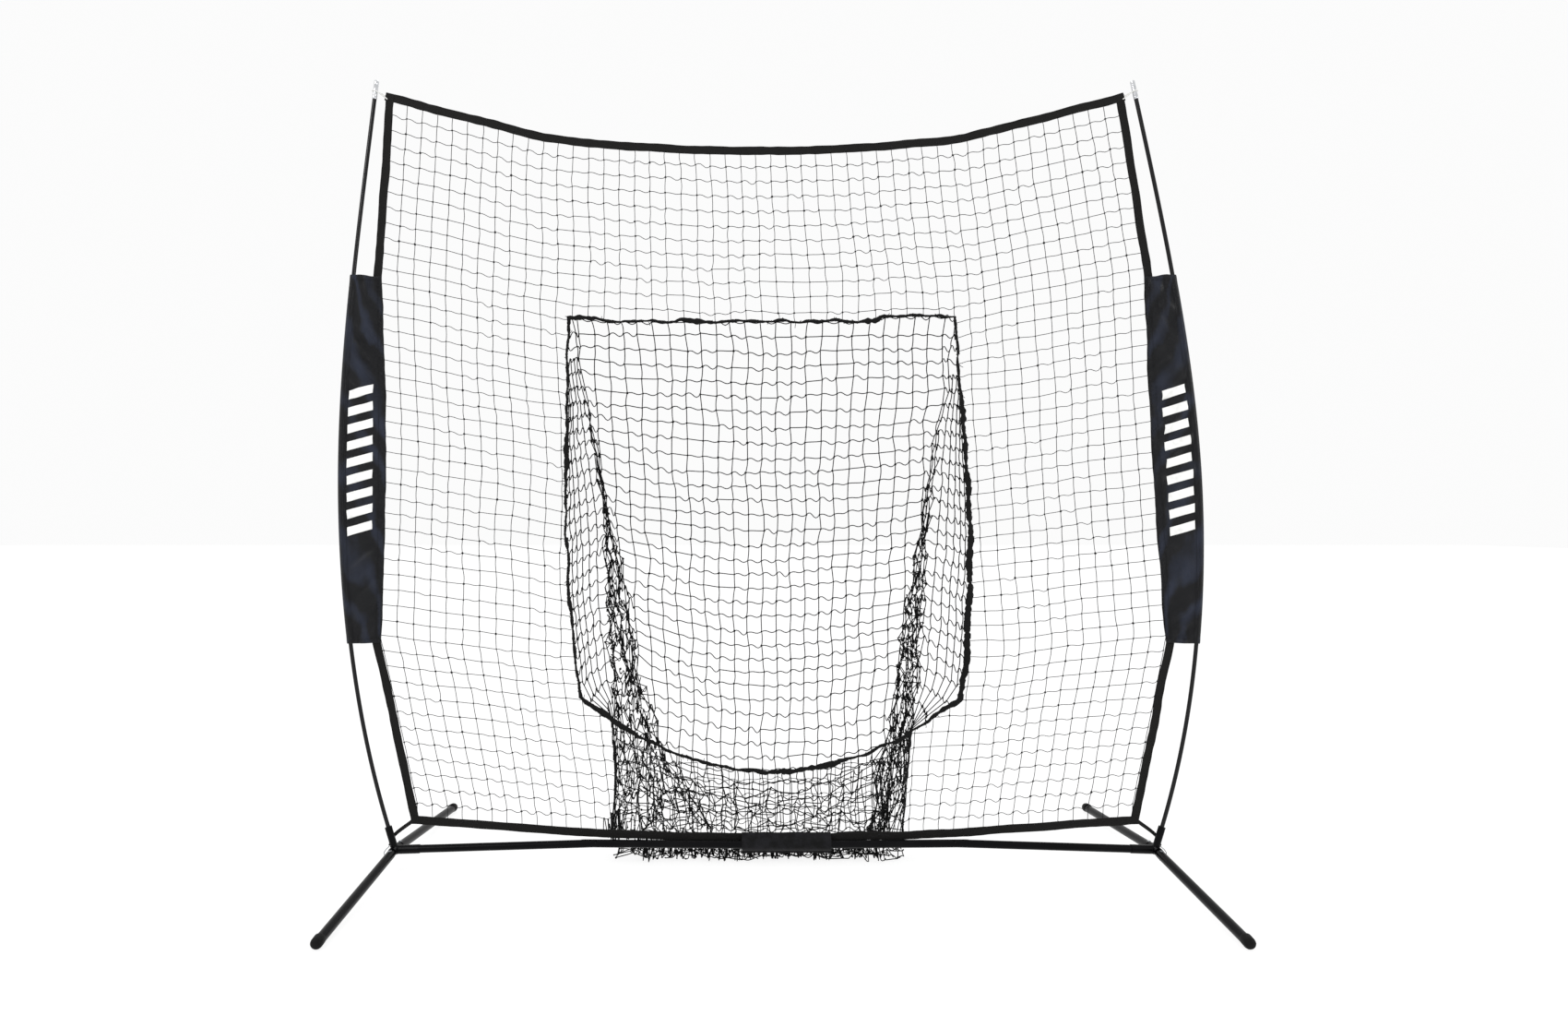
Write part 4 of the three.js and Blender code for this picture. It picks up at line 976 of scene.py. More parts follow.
@dataclass
class Pocket:
    """The catching bag behind the opening: a back with two gathered folds, sides, front and floor.

    The folds' edges are given from the opening's top corner down to the ground, as (x, y, z).

    Attributes:
        layout: The net's main lines.
        row: Drop from one row of knots to the next in the back.
        half_columns: Columns of knots on each side of the back's middle.
        side_columns: Columns in each side, between the fold and the opening's edge.
        fold_columns: Columns gathered in each fold.
        centre: The back's middle line, as (y, z).
        folds: Two edges of the fold on each side.
        front_x: Ends of the front and the floor.
        netting: The bag's twine.
    """

    layout: Layout = LAYOUT
    row: float = 43.0
    half_columns: int = 13
    side_columns: int = 5
    fold_columns: int = 9
    centre: tuple = ((30, 1552), (105, 1150), (168, 700), (190, 480), (200, 300), (192, 110),
                     (172, 18))
    folds: dict = field(default_factory=lambda: {
        Side.LEFT: (
            ((-583, 30, 1565), (-488, 115, 996), (-443, 150, 748), (-407, 172, 557),
             (-383, 185, 426), (-334, 195, 296), (-289, 198, 211), (-205, 190, 87),
             (-150, 180, 15)),
            ((-585, 28, 1565), (-500, 112, 1000), (-500, 122, 832), (-488, 145, 610),
             (-473, 160, 441), (-462, 165, 329), (-454, 160, 191), (-474, 145, 85),
             (-478, 130, 14)),
        ),
        Side.RIGHT: (
            ((522, 30, 1565), (483, 60, 1344), (463, 95, 1159), (439, 115, 996), (403, 145, 776),
             (380, 170, 552), (355, 190, 325), (313, 190, 250), (308, 190, 73), (243, 180, 15)),
            ((524, 28, 1565), (470, 80, 1158), (446, 120, 832), (435, 145, 610), (428, 155, 498),
             (418, 160, 400), (398, 160, 330), (378, 155, 165), (350, 148, 85), (322, 135, 15)),
        ),
    })
    front_x: tuple = (-455.0, 370.0)
    netting: Netting = field(default_factory=lambda: Netting(1.5, 46.5, 2.9, 23, stations=8))

    def edge(self, side: Side, which: int, z: float | np.ndarray) -> np.ndarray:
        """A fold's inner (0) or outer (1) edge at heights."""
        table = np.array(self.folds[side][which], float)[::-1]
        z = np.asarray(z, float)
        x = np.interp(z, table[:, 2], table[:, 0])
        return np.stack([x, np.interp(z, table[:, 2], table[:, 1]), z], axis=-1)

    def mouth(self, side: Side, z: float) -> np.ndarray:
        """Where the bag's side meets the rim, or the bag's front below the rim's corner."""
        lay = self.layout
        x0 = self.front_x[0 if side is Side.LEFT else 1]
        turn = float(lay.opening_low(x0))
        if z >= lay.opening_corner:
            return np.array([float(lay.opening(side, z)), 20.0, z])
        corner = float(lay.opening(side, lay.opening_corner))
        x = float(np.interp(z, [turn, lay.opening_corner], [x0, corner]))
        return np.array([x, float(np.interp(z, [15, turn], [62, 24])), z])

    def wall(self) -> tuple[np.ndarray, np.ndarray]:
        """Knots of the back and both sides, row by row from the rim down.

        Returns:
            (rows, columns, 3) places and (rows, columns) True where there is a knot.
        """
        rng = self.netting.rng
        heights = np.arange(1558.0, 12.0, -self.row)
        middle = np.array(self.centre, float)[::-1]
        reach = self.half_columns + self.fold_columns + self.side_columns + 1
        place = np.zeros((len(heights), 2 * reach + 1, 3))
        there = np.zeros(place.shape[:2], bool)
        for i, z in enumerate(heights):
            share = i / (len(heights) - 1)
            pitch = 44.0 - 3.0 * share
            axis = -39 + 9 * share
            back_y = float(np.interp(z, middle[:, 1], middle[:, 0]))
            place[i, reach] = (axis, back_y, z)
            there[i, reach] = True
            for side in Side:
                rise = float(np.interp(share, [0, 0.1, 0.35, 0.7, 0.93, 1.0],
                                       [2, 28, 58, 92, 30, 3]))
                rise *= 1.0 if side is Side.LEFT else 0.75
                inner, outer = self.edge(side, 0, z + rise), self.edge(side, 1, z + rise)
                rim = self.mouth(side, z + rise * 0.3)
                half = abs(inner[0] - axis)
                width = float(np.linalg.norm((outer - rim)[:2]))
                folded = []
                for k in range(1, self.half_columns + 1):
                    column = reach + side.value * k
                    away = k * pitch
                    if away <= half - 4:
                        t = away / half
                        y = back_y + (inner[1] - back_y) * t**3
                        place[i, column] = (axis + side.value * away, y, z + rise * t**2.3)
                        there[i, column] = True
                    else:
                        folded.append(column)
                starts = np.linspace(1340, 640, self.fold_columns)
                starts = starts if side is Side.LEFT else starts - 110
                for e, start in enumerate(starts, 1):
                    if z < start:
                        folded.append(reach + side.value * (self.half_columns + e))
                for m in range(self.side_columns, 0, -1):
                    column = reach + side.value * (reach - m)
                    t = m / (self.side_columns + 1)
                    if width * t > 6 + 4 * m:
                        at = rim + (outer - rim) * t
                        bulge = 14 * math.sin(math.pi * t)
                        height = z + rise * (0.3 + 0.7 * t)
                        place[i, column] = (at[0] + side.value * bulge, at[1], height)
                        there[i, column] = True
                for n, column in enumerate(folded):
                    t = 0.5 - 0.5 * math.cos(math.pi * (n + 0.5) / len(folded))
                    at = inner + (outer - inner) * t
                    loose = min(1.0, float(np.linalg.norm(outer - inner)) / 60)
                    stray = rng.normal(0, 1, 3) * (2 + 7 * loose, 3 + 12 * loose, 2 + 7 * loose)
                    place[i, column] = at + stray
                    there[i, column] = True
                place[i, reach + side.value * reach] = rim
                there[i, reach + side.value * reach] = True
        flat = place[..., [0, 2]]
        open_net = (np.abs(np.arange(place.shape[1]) - reach) <= self.half_columns)[None, :]
        for axis_number, size in ((0, 3.5), (1, 7.0), (2, 4.0)):
            wander = smooth_noise(rng, flat, 300.0) * size
            wander += smooth_noise(rng, flat, 110.0) * size * 0.4
            wander += rng.normal(0, 1.1, wander.shape)
            place[..., axis_number] += np.where(open_net, wander, wander * 0.5)
        place[0, :, 2] = self.layout.opening_high(place[0, :, 0]) - 2
        place[0, :, 1] = 18
        return place, there

    def front(self) -> np.ndarray:
        """Knots of the front wall, from the rim's low edge down to the ground."""
        rng, rows, columns = self.netting.rng, 9, 20
        x = np.linspace(*self.front_x, columns)
        t = np.linspace(0, 1, rows + 1)[:, None]
        top = self.layout.opening_low(x)[None, :] - 2
        z = top + (12 - top) * t
        y = 20 + 46 * t + 0 * x
        place = np.stack([np.broadcast_to(x, z.shape), y, z], axis=-1)
        loose = t[..., None] * np.array([9.0, 10.0, 9.0]) + np.array([3.0, 5.0, 3.5])
        place[1:] += rng.normal(0, 1, place[1:].shape) * loose[1:] * 0.8
        return place

    def floor(self) -> np.ndarray:
        """Knots of the crumpled floor of the bag."""
        rng, rows, columns = self.netting.rng, 5, 20
        x = np.linspace(*self.front_x, columns)[None, :] + np.zeros((rows, 1))
        y = np.linspace(64, 172, rows)[:, None] + np.zeros((1, columns))
        z = rng.uniform(3, 26, x.shape)
        place = np.stack([x, y, z], axis=-1)
        place[..., :2] += rng.normal(0, 7, place[..., :2].shape)
        return place

    def slack(self) -> np.ndarray:
        """Knots of the spare netting that stands in folds on the bag's floor."""
        rng, rows, columns = self.netting.rng, 6, 22
        x = np.linspace(self.front_x[0] + 60, self.front_x[1] - 30, columns)[None, :]
        t = np.linspace(0, 1, rows)[:, None]
        crest = 150 + 90 * np.abs(np.linspace(-1, 1, columns)[None, :]) ** 1.5
        z = 24 + t * crest
        y = 110 + 30 * t + 18 * np.sin(np.arange(columns) * 1.9)[None, :]
        place = np.stack(np.broadcast_arrays(x, y, z), axis=-1)
        return place + rng.normal(0, 1, place.shape) * (9, 13, 9)

    def tangle(self, shell: Shell, centre: tuple, size: tuple, count: int) -> None:
        """Adds a clump of gathered twine, one run of knots from one end to the other.

        Args:
            shell: Where it goes.
            centre: Its middle.
            size: How far it spreads along each axis.
            count: How many strands it holds.
        """
        rng = self.netting.rng
        place = np.array(centre) + np.clip(rng.normal(0, 1, (count, 3)), -1.7, 1.7) * size
        place = place[np.argsort(place[:, 0])]
        line = through(place, 6 * count)
        line[:, 2] = np.maximum(line[:, 2], self.netting.radius * 1.6)
        sweep(shell, line, circle(5) * self.netting.radius, ends=Ends.FLAT)
        self.netting.knots(shell, line[::12])

    def build(self) -> None:
        """Builds the bag in five pieces."""
        net = self.netting
        place, there = self.wall()
        columns = np.arange(place.shape[1]) - place.shape[1] // 2
        half = self.half_columns
        shell = Shell()
        span = np.abs(columns) <= half
        net.grid(shell, place[:, span], (0.3, 1.0, 0.25), (0.0, 0.15, 0.3), there[:, span])
        self.finish(shell, "back")
        for side in Side:
            shell = Shell()
            span = columns * side.value >= half
            part, has = place[:, span], there[:, span].copy()
            order = slice(None) if side is Side.RIGHT else slice(None, None, -1)
            part, has = part[:, order], has[:, order]
            self.side(shell, part, has)
            x = -466 if side is Side.LEFT else 312
            self.tangle(shell, (x, 132, 72), (22, 20, 28), 26)
            share = 1.0 if side is Side.LEFT else 0.85
            for z in np.linspace(30, 1000, 30):
                inner, outer = self.edge(side, 0, z), self.edge(side, 1, z)
                at, spread = (inner + outer) / 2, abs(outer[0] - inner[0]) * 0.26 + 3
                count = int(share * np.interp(z, [30, 300, 600, 1000], [26, 22, 13, 3]))
                self.tangle(shell, tuple(at), (spread, 14, 18), count)
            self.finish(shell, f"side_{side.label}")
        shell = Shell()
        net.grid(shell, self.front(), (0.5, 0.7, 0.6), (0.1, 0.3, 0.7))
        self.finish(shell, "front")
        shell = Shell()
        net.grid(shell, self.floor(), (0.1, 0.5, 0.9), (0.1, 0.5, 0.9), facing=UP)
        self.tangle(shell, (-40, 100, 16), (200, 36, 12), 420)
        for x in np.linspace(-380, 320, 15):
            self.tangle(shell, (x, 62, 20), (22, 14, 12), 14)
        net.grid(shell, self.slack(), (0.4, 0.7, 0.8), (0.2, 0.4, 0.8))
        self.finish(shell, "floor")

    def finish(self, shell: Shell, part: str) -> None:
        """Turns a shell into the bag's piece of that name."""
        shell.make(f"pocket_net_{part}", POCKET_TWINE, slot="pocket_twine",
                   replaces=(f"pocket_{part}",))

    def side(self, shell: Shell, place: np.ndarray, there: np.ndarray) -> None:
        """Adds one side's netting; rows skip the columns that haven't started yet.

        Args:
            shell: Where it goes.
            place: (rows, columns, 3) knots from the fold to the rim.
            there: Which of them there are.
        """
        net = self.netting
        net.knots(shell, place[:, 1:][there[:, 1:]])
        firsts, seconds = [], []
        for row, has in zip(place, there):
            known = row[has]
            firsts.append(known[:-1])
            seconds.append(known[1:])
        net.weave(shell, np.concatenate(firsts), np.concatenate(seconds), (0.4, 0.9, 0.4))
        down = there[:-1, 1:-1] & there[1:, 1:-1]
        net.weave(shell, place[:-1, 1:-1][down], place[1:, 1:-1][down], (0.0, 0.15, 0.45))


@dataclass
class Rim:
    """The opening's edge: netting gathered and whipped into a narrow tape, thick in places.

    Attributes:
        gathers: Thick places as (x, z, reach, extra half-width).
    """

    layout: Layout = LAYOUT
    seed: int = 41
    gathers: tuple = (
        (-601, 1167, 60, 4.4), (-596, 760, 30, 4.0), (-446, 404, 75, 5.0), (-532, 462, 45, 4.0),
        (552, 1250, 90, 4.2), (560, 1000, 130, 6.2), (565, 760, 140, 7.6), (553, 560, 100, 6.2),
        (500, 440, 55, 4.2), (52, 270, 120, 3.4), (150, 276, 60, 2.8), (-232, 1554, 34, 4.4),
        (280, 1556, 24, 4.8), (-560, 1562, 34, 3.2),
    )

    def build(self) -> None:
        """Builds the rim and the tufts of twine that stand out of it."""
        rng = np.random.default_rng(self.seed)
        count = 1100
        loop = self.layout.outline(count)
        wobble = [np.stack([smooth_noise(rng, loop, scale), smooth_noise(rng, loop, scale)], axis=1)
                  for scale in (90.0, 30.0)]
        loop = loop + wobble[0] * 2.6 + wobble[1]
        line = np.stack([loop[:, 0], self.layout.net_y + 1 + smooth_noise(rng, loop, 70.0) * 1.8,
                         loop[:, 1]], axis=1)
        half = 3.5 + 0.9 * smooth_noise(rng, loop, 40.0)
        half = half + np.abs(smooth_noise(rng, loop, 14.0))
        for x, z, reach, extra in self.gathers:
            away = np.hypot(loop[:, 0] - x, loop[:, 1] - z) / reach
            half += extra * np.exp(-away**4) * (0.8 + 0.35 * smooth_noise(rng, loop, 22.0))
        half = np.clip(half, 2.2, 10.5)
        deep = np.clip(2.2 + 0.5 * (half - 3), 1.8, 4.6)
        shell = Shell()
        scale = np.stack([half, deep], axis=1)[None]
        twist = 0.5 * smooth_noise(rng, loop, 160.0)
        sweep(shell, line, circle(12), scale=scale, twist=twist, ends=Ends.JOINED)
        spots = rng.choice(count, 260, replace=False)
        shape = (len(spots), 3)
        root = line[spots] + rng.normal(0, 1.5, shape)
        tip = root + rng.normal(0, 1, shape) * (5.5, 3.0, 5.5)
        bow = (root + tip) / 2 + rng.normal(0, 2.2, shape)
        t = np.linspace(0, 1, 6)[None, :, None]
        tufts = (1 - t) ** 2 * root[:, None] + 2 * t * (1 - t) * bow[:, None] + t**2 * tip[:, None]
        sweep(shell, tufts, circle(5) * 0.9, ends=Ends.FLAT)
        shell.make("opening_rim", BINDING, slot="rim_binding", replaces=("strike_zone_rim",))
        whip = Shell()
        spots = np.arange(3, count - 6, 5)
        turns = 9
        angle = np.linspace(0, 2 * math.pi, turns)[None, :]
        at, ahead = line[spots], line[spots + 2]
        along = unit(ahead - at)
        across = unit(np.cross(along, BACK))
        rings = (at[:, None] + along[:, None] * (np.linspace(-1.5, 1.5, turns)[None, :, None])
                 + across[:, None] * (np.cos(angle) * (half[spots, None] + 0.3))[..., None]
                 + BACK * (np.sin(angle) * (deep[spots, None] + 0.3))[..., None])
        sweep(whip, rings, circle(4) * 0.55, facing=(0.2, 0.3, 0.9), ends=Ends.FLAT)
        whip.make("opening_rim_whipping", THREAD, slot="rim_binding")


# ---- tape and cloth -----------------------------------------------------------------------------
def band_section(width: float, thick: float, edge: float = 1.25) -> np.ndarray:
    """Section of a tape folded double: flat faces and fuller folded edges.

    Args:
        width: Across the tape.
        thick: Through its middle.
        edge: How much fuller its edges are.

    Returns:
        (20, 2) corners.
    """
    w, t, e = width / 2, thick / 2, thick / 2 * edge
    quarter = [(w, 0), (w - 0.35 * e, 0.75 * e), (w - 1.2 * e, e), (w - 3.2 * e, t),
               (w / 3, t * 0.92)]
    half = [(-x, y) for x, y in quarter] + quarter[::-1]
    return np.array(half + [(x, -y) for x, y in half[-2:0:-1]])


def stitches(shell: Shell, line: np.ndarray, lift: np.ndarray, pitch: float = 6.5) -> None:
    """Adds a row of stitches along a line.

    Args:
        shell: Where they go.
        line: (n, 3) line on the cloth.
        lift: Direction out of the cloth.
        pitch: From one stitch to the next.
    """
    run = np.concatenate([[0], np.cumsum(np.linalg.norm(np.diff(line, axis=0), axis=1))])
    starts = np.arange(pitch, run[-1] - pitch, pitch)
    t = np.linspace(-0.36, 0.36, 4)
    marks = starts[:, None] + t[None, :] * pitch
    places = np.stack([np.interp(marks, run, column) for column in line.T], axis=-1)
    arch = np.array([-0.25, 0.4, 0.4, -0.25])
    places = places + np.asarray(lift, float) * arch[None, :, None]
    sweep(shell, places, circle(3) * 0.46, facing=lift, ends=Ends.FLAT)


def grid_numbers(rows: int, columns: int) -> tuple[np.ndarray, np.ndarray]:
    """Vertex numbers of a grid, and of its border in order."""
    index = np.arange(rows * columns).reshape(rows, columns)
    return index, np.concatenate([index[0, :], index[1:, -1], index[-1, -2::-1], index[-2:0:-1, 0]])


@dataclass
class Hems:
    """The woven tape folded over the face's four edges and sewn down.

    Attributes:
        layout: The net's main lines.
        thick: The folded tape's thickness.
        stations: How many places along each hem.
    """

    layout: Layout = LAYOUT
    thick: float = 3.0
    stations: int = 420

    def build(self) -> None:
        """Builds the four hems and their stitching."""
        lay = self.layout
        rng = np.random.default_rng(7)
        left, right = (float(lay.hem(s, lay.hem_top)) for s in (Side.LEFT, Side.RIGHT))
        low_left, low_right = (float(lay.hem(s, lay.hem_bottom - 8))
                               for s in (Side.LEFT, Side.RIGHT))
        x = np.linspace(left - 12, right + 12, self.stations)
        low_x = np.linspace(low_left - 12, low_right + 12, self.stations)
        runs = {"top": (x, lay.top_hem(x)), "bottom": (low_x, lay.bottom_hem(low_x))}
        for side in Side:
            low = float(lay.bottom_hem(low_right)) - 12
            z = np.linspace(low, lay.hem_top + 8, self.stations)
            runs[side.label] = (lay.hem(side, z), z)
        thread = Shell()
        for name, (xs, zs) in runs.items():
            places = np.stack([xs, zs], axis=1)
            y = lay.net_y + 0.5 * smooth_noise(rng, places, 120.0)
            if name in ("left", "right"):
                y = y + 0.6
            line = np.stack([xs, y, zs], axis=1)
            for axis in (0, 2):
                line[:, axis] += smooth_noise(rng, places, 150.0) * 0.9
            shell = Shell()
            width = 1 + 0.03 * smooth_noise(rng, places, 45.0)
            scale = np.stack([width, 1 + 0.12 * smooth_noise(rng, places, 30.0)], axis=1)[None]
            twist = 0.05 * smooth_noise(rng, places, 110.0)
            sweep(shell, line, band_section(lay.hem_width, self.thick), scale, twist=twist)
            tape = shell.make(f"hem_tape_{name}", HEM_TAPE, slot="hem_tape",
                              replaces=(f"hem_{name}",))
            tangent = unit(np.gradient(line, axis=0))
            across = unit(np.cross(tangent, BACK))
            for offset in (-8.8, 8.8):
                for face in (-1.0, 1.0):
                    lift = BACK * face
                    stitches(thread, line + across * offset + lift * self.thick * 0.5, lift)
        thread.make("hem_stitching", THREAD, slot="hem_tape")


@dataclass
class SidePanel:
    """A cloth panel between a side hem and its pole, sewn into a sleeve round the pole.

    Attributes:
        side: Which side it is on.
        sleeve: Middle radius of the cloth round the pole.
        thick: The cloth's thickness.
        bars: How many slanted bars its printed mark has.
        mark_low: Height of the mark's lower end.
        mark_high: Height of its upper end.
        seam_angle: Where the sleeve's cloth starts and ends, from the side that faces the net.
    """

    side: Side
    layout: Layout = LAYOUT
    sleeve: float = 8.9
    thick: float = 0.9
    bars: int = 9
    mark_low: float = 940.0
    mark_high: float = 1376.0
    seam_angle: float = math.radians(38)

    def across(self, s: np.ndarray, z: np.ndarray) -> np.ndarray:
        """A place on the cloth.

        Args:
            s: 0 at the sleeve's seam, 1 at the pole's far side, 2 at the web's start, 3 at the hem.
            z: Height.

        Returns:
            (..., 3) places in the middle of the cloth.
        """
        lay, sign = self.layout, self.side.value
        pole = lay.pole(self.side, z)
        seam, full = self.seam_angle, 2 * math.pi

        def round_pole(turn: float | np.ndarray) -> np.ndarray:
            """Places round the pole at an angle from the side that faces the net."""
            x = pole[..., 0] - sign * self.sleeve * np.cos(turn)
            return np.stack([x, 0 * z + self.sleeve * np.sin(turn), z], axis=-1)

        ring = round_pole(seam + (full - 2 * seam) * np.clip(s, 0, 2) / 2)
        leave = round_pole(full - seam)
        hem = np.stack([lay.hem(self.side, z) - sign * 10.5, 0 * z + lay.net_y - 2.6, z], axis=-1)
        t = np.clip(s - 2, 0, 1)
        web = leave + (hem - leave) * t[..., None]
        ease = 0.55 * t + 0.45 * t * t * (3 - 2 * t)
        web[..., 1] = leave[..., 1] + (hem[..., 1] - leave[..., 1]) * ease
        place = np.where((s <= 2)[..., None], ring, web)
        return place + self.wrinkle(s, z)

    def wrinkle(self, s: np.ndarray, z: np.ndarray) -> np.ndarray:
        """Diagonal creases pulled from the sleeve to the hem, and a slack belly."""
        t = np.clip(s - 2, 0, 1)
        hold = np.sin(math.pi * t) ** 0.8
        rng = np.random.default_rng(60 + self.side.value)
        down = (z - self.layout.panel_low) / (self.layout.panel_high - self.layout.panel_low)
        total = np.zeros(np.broadcast(s, z).shape)
        for _ in range(9):
            lean = rng.uniform(0.35, 1.1) * (1 if rng.random() < 0.6 else -1)
            length = rng.uniform(38, 120)
            phase = rng.uniform(0, 2 * math.pi)
            where, spread = rng.uniform(0, 1), rng.uniform(0.08, 0.22)
            fade = np.exp(-(((down - where) / spread) ** 2))
            wave = np.sin(2 * math.pi * (z + lean * t * 110) / length + phase)
            total = total + fade * wave * rng.uniform(1.6, 3.6)
        ends = np.exp(-down / 0.05) + np.exp(-(1 - down) / 0.05)
        gather = ends * np.sin(t * 19 + 3 * rng.random()) * 1.1
        y = hold * (total + gather)
        pucker = 0.35 * np.sin(2 * math.pi * z / 17.0 + 3 * s) * np.exp(-np.abs(t - 1) / 0.08)
        return np.stack([0 * y, y - 1.5 * hold + pucker * (s > 2), 0 * y], axis=-1)

    def surface(self, shell: Shell, s: np.ndarray, z: np.ndarray, near: float | np.ndarray,
                far: float | np.ndarray) -> None:
        """Adds a closed layer of cloth between two distances from the cloth's middle.

        Args:
            shell: Where it goes.
            s: (n,) places across.
            z: (m, n) heights.
            near: Distance of the layer's front face, outward.
            far: Distance of its back face, which may vary with height.
        """
        grid_s = np.broadcast_to(s, z.shape)
        middle = self.across(grid_s, z)
        normal = unit(np.cross(np.gradient(middle, axis=1), np.gradient(middle, axis=0)))
        normal *= self.side.value
        front = middle + normal * (np.zeros(z.shape) + near)[..., None]
        back = middle + normal * (np.zeros(z.shape) + far)[..., None]
        index, edge = grid_numbers(*z.shape)
        step = np.linalg.norm(np.diff(middle, axis=1), axis=2).mean(axis=0)
        u = np.broadcast_to(np.concatenate([[0], np.cumsum(step)]), z.shape)
        uv = np.tile(np.stack([u, z], axis=-1).reshape(-1, 2), (2, 1))
        corners = [index[:-1, :-1], index[:-1, 1:], index[1:, 1:], index[1:, :-1]]
        quads = np.stack(corners, axis=-1).reshape(-1, 4)
        after = np.roll(edge, -1)
        rim = np.stack([edge, edge + z.size, after + z.size, after], axis=1)
        faces = [quads, quads[:, ::-1] + z.size, rim]
        if self.side is Side.RIGHT:
            faces = [f[:, ::-1] for f in faces]
        shell.extend(np.concatenate([front.reshape(-1, 3), back.reshape(-1, 3)]), faces,
                     [uv[f] for f in faces])

    def build(self) -> None:
        """Builds the cloth, its stitching and its printed mark."""
        lay = self.layout
        s = np.concatenate([np.linspace(0, 2, 26), np.linspace(2, 3, 42)[1:]])
        z = np.linspace(lay.panel_low, lay.panel_high, 210)[:, None] + np.zeros((1, len(s)))
        slope = np.clip(s - 2, 0, 1)[None, :]
        z = z + 1.5 * np.sin(slope * 7) * (z > lay.panel_high - 40)
        ends = np.minimum(z - lay.panel_low, lay.panel_high - z)
        hemmed = 0.9 / (1 + np.exp((ends - 14) / 0.8))
        shell = Shell()
        self.surface(shell, s, z, -self.thick / 2 - hemmed * 0.5, self.thick / 2 + hemmed * 0.5)
        cloth = shell.make(f"panel_cloth_{self.side.label}", OXFORD, slot="oxford_fabric",
                           replaces=(f"side_panel_{self.side.label}",))
        thread = Shell()
        heights = np.linspace(lay.panel_low + 3, lay.panel_high - 3, 260)
        for place in (2.06, 2.84, 2.98):
            line = self.across(np.full(heights.shape, place), heights)
            stitches(thread, line - BACK * (self.thick / 2 + 0.15), -BACK, 4.5)
        across = np.linspace(2.02, 2.99, 80)
        for height in (lay.panel_low + 12, lay.panel_high - 12):
            line = self.across(across, np.full(across.shape, height))
            stitches(thread, line - BACK * (self.thick / 2 + 0.6), -BACK, 4.5)
        sewn = thread.make(f"panel_stitching_{self.side.label}", THREAD, slot="oxford_fabric")
        mark = self.mark()

    def mark(self) -> bpy.types.Object:
        """Prints a plain mark of slanted white bars down the middle of the panel.

        Returns:
            The mark's piece.
        """
        shell = Shell()
        pitch = (self.mark_high - self.mark_low) / self.bars
        edges = np.linspace(0.09, 0.7, 22)
        share = np.linspace(0, 1, len(edges))
        slant = 0.42 * pitch * (share if self.side is Side.LEFT else 1 - share)
        for n in range(self.bars):
            z = self.mark_low + n * pitch + np.linspace(0, 0.52 * pitch, 9)[:, None] + slant
            self.surface(shell, 2 + edges, z, -self.thick / 2 - 0.55, -self.thick / 2 - 0.2)
        return shell.make(f"panel_mark_{self.side.label}", INK)


# ---- frame --------------------------------------------------------------------------------------
def axis_of(node: str) -> tuple[np.ndarray, np.ndarray]:
    """The two end centres of a long straight CAD node, in millimetres, from its own vertices.

    Args:
        node: The node's name.

    Returns:
        The centres of its two ends.
    """
    mesh = frame["nodes"][node].data
    points = np.zeros(len(mesh.vertices) * 3, np.float32)
    mesh.vertices.foreach_get("co", points)
    points = points.reshape(-1, 3).astype(float) / MM
    centre = (points.max(axis=0) + points.min(axis=0)) / 2
    way = np.linalg.svd(points - points.mean(axis=0), full_matrices=False)[2][0]
    run = (points - centre) @ way
    ends = [centre + way * limit for limit in (run.min(), run.max())]
    return tuple(sorted(ends, key=lambda p: tuple(np.round(p, 3))))


def body_of(node: str) -> str:
    """The CAD body a node belongs to."""
    return frame["nodes"][node]["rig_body"]


@dataclass
class Tube:
    """A round tube or rod that stands for one straight CAD node.

    Attributes:
        node: The CAD node.
        name: The piece's name.
        radius: Its half-diameter.
        finish: Its finish.
        slot: The record's material slot.
        dent: How far its middle line wanders.
    """

    node: str
    name: str
    radius: float
    finish: Finish
    slot: str
    dent: float = 0.06

    def build(self) -> None:
        """Builds the tube with softened ends and a faintly uneven surface."""
        first, last = axis_of(self.node)
        count = 60
        line = first + (last - first) * np.linspace(0, 1, count)[:, None]
        run = np.linspace(0, float(np.linalg.norm(last - first)), count)
        rng = np.random.default_rng(len(self.node) * 13)
        line += smooth_noise(rng, run[:, None], 160.0)[:, None] * self.dent * UP
        ends = np.minimum(run, run[::-1])
        radius = np.where(ends < 0.1, self.radius - 0.5, self.radius)
        shell = Shell()
        sweep(shell, line, circle(40), scale=radius, facing=(0.1, 0.2, 1.0), ends=Ends.FLAT)
        shell.make(self.name, self.finish, body_of(self.node), self.slot, (self.node,))


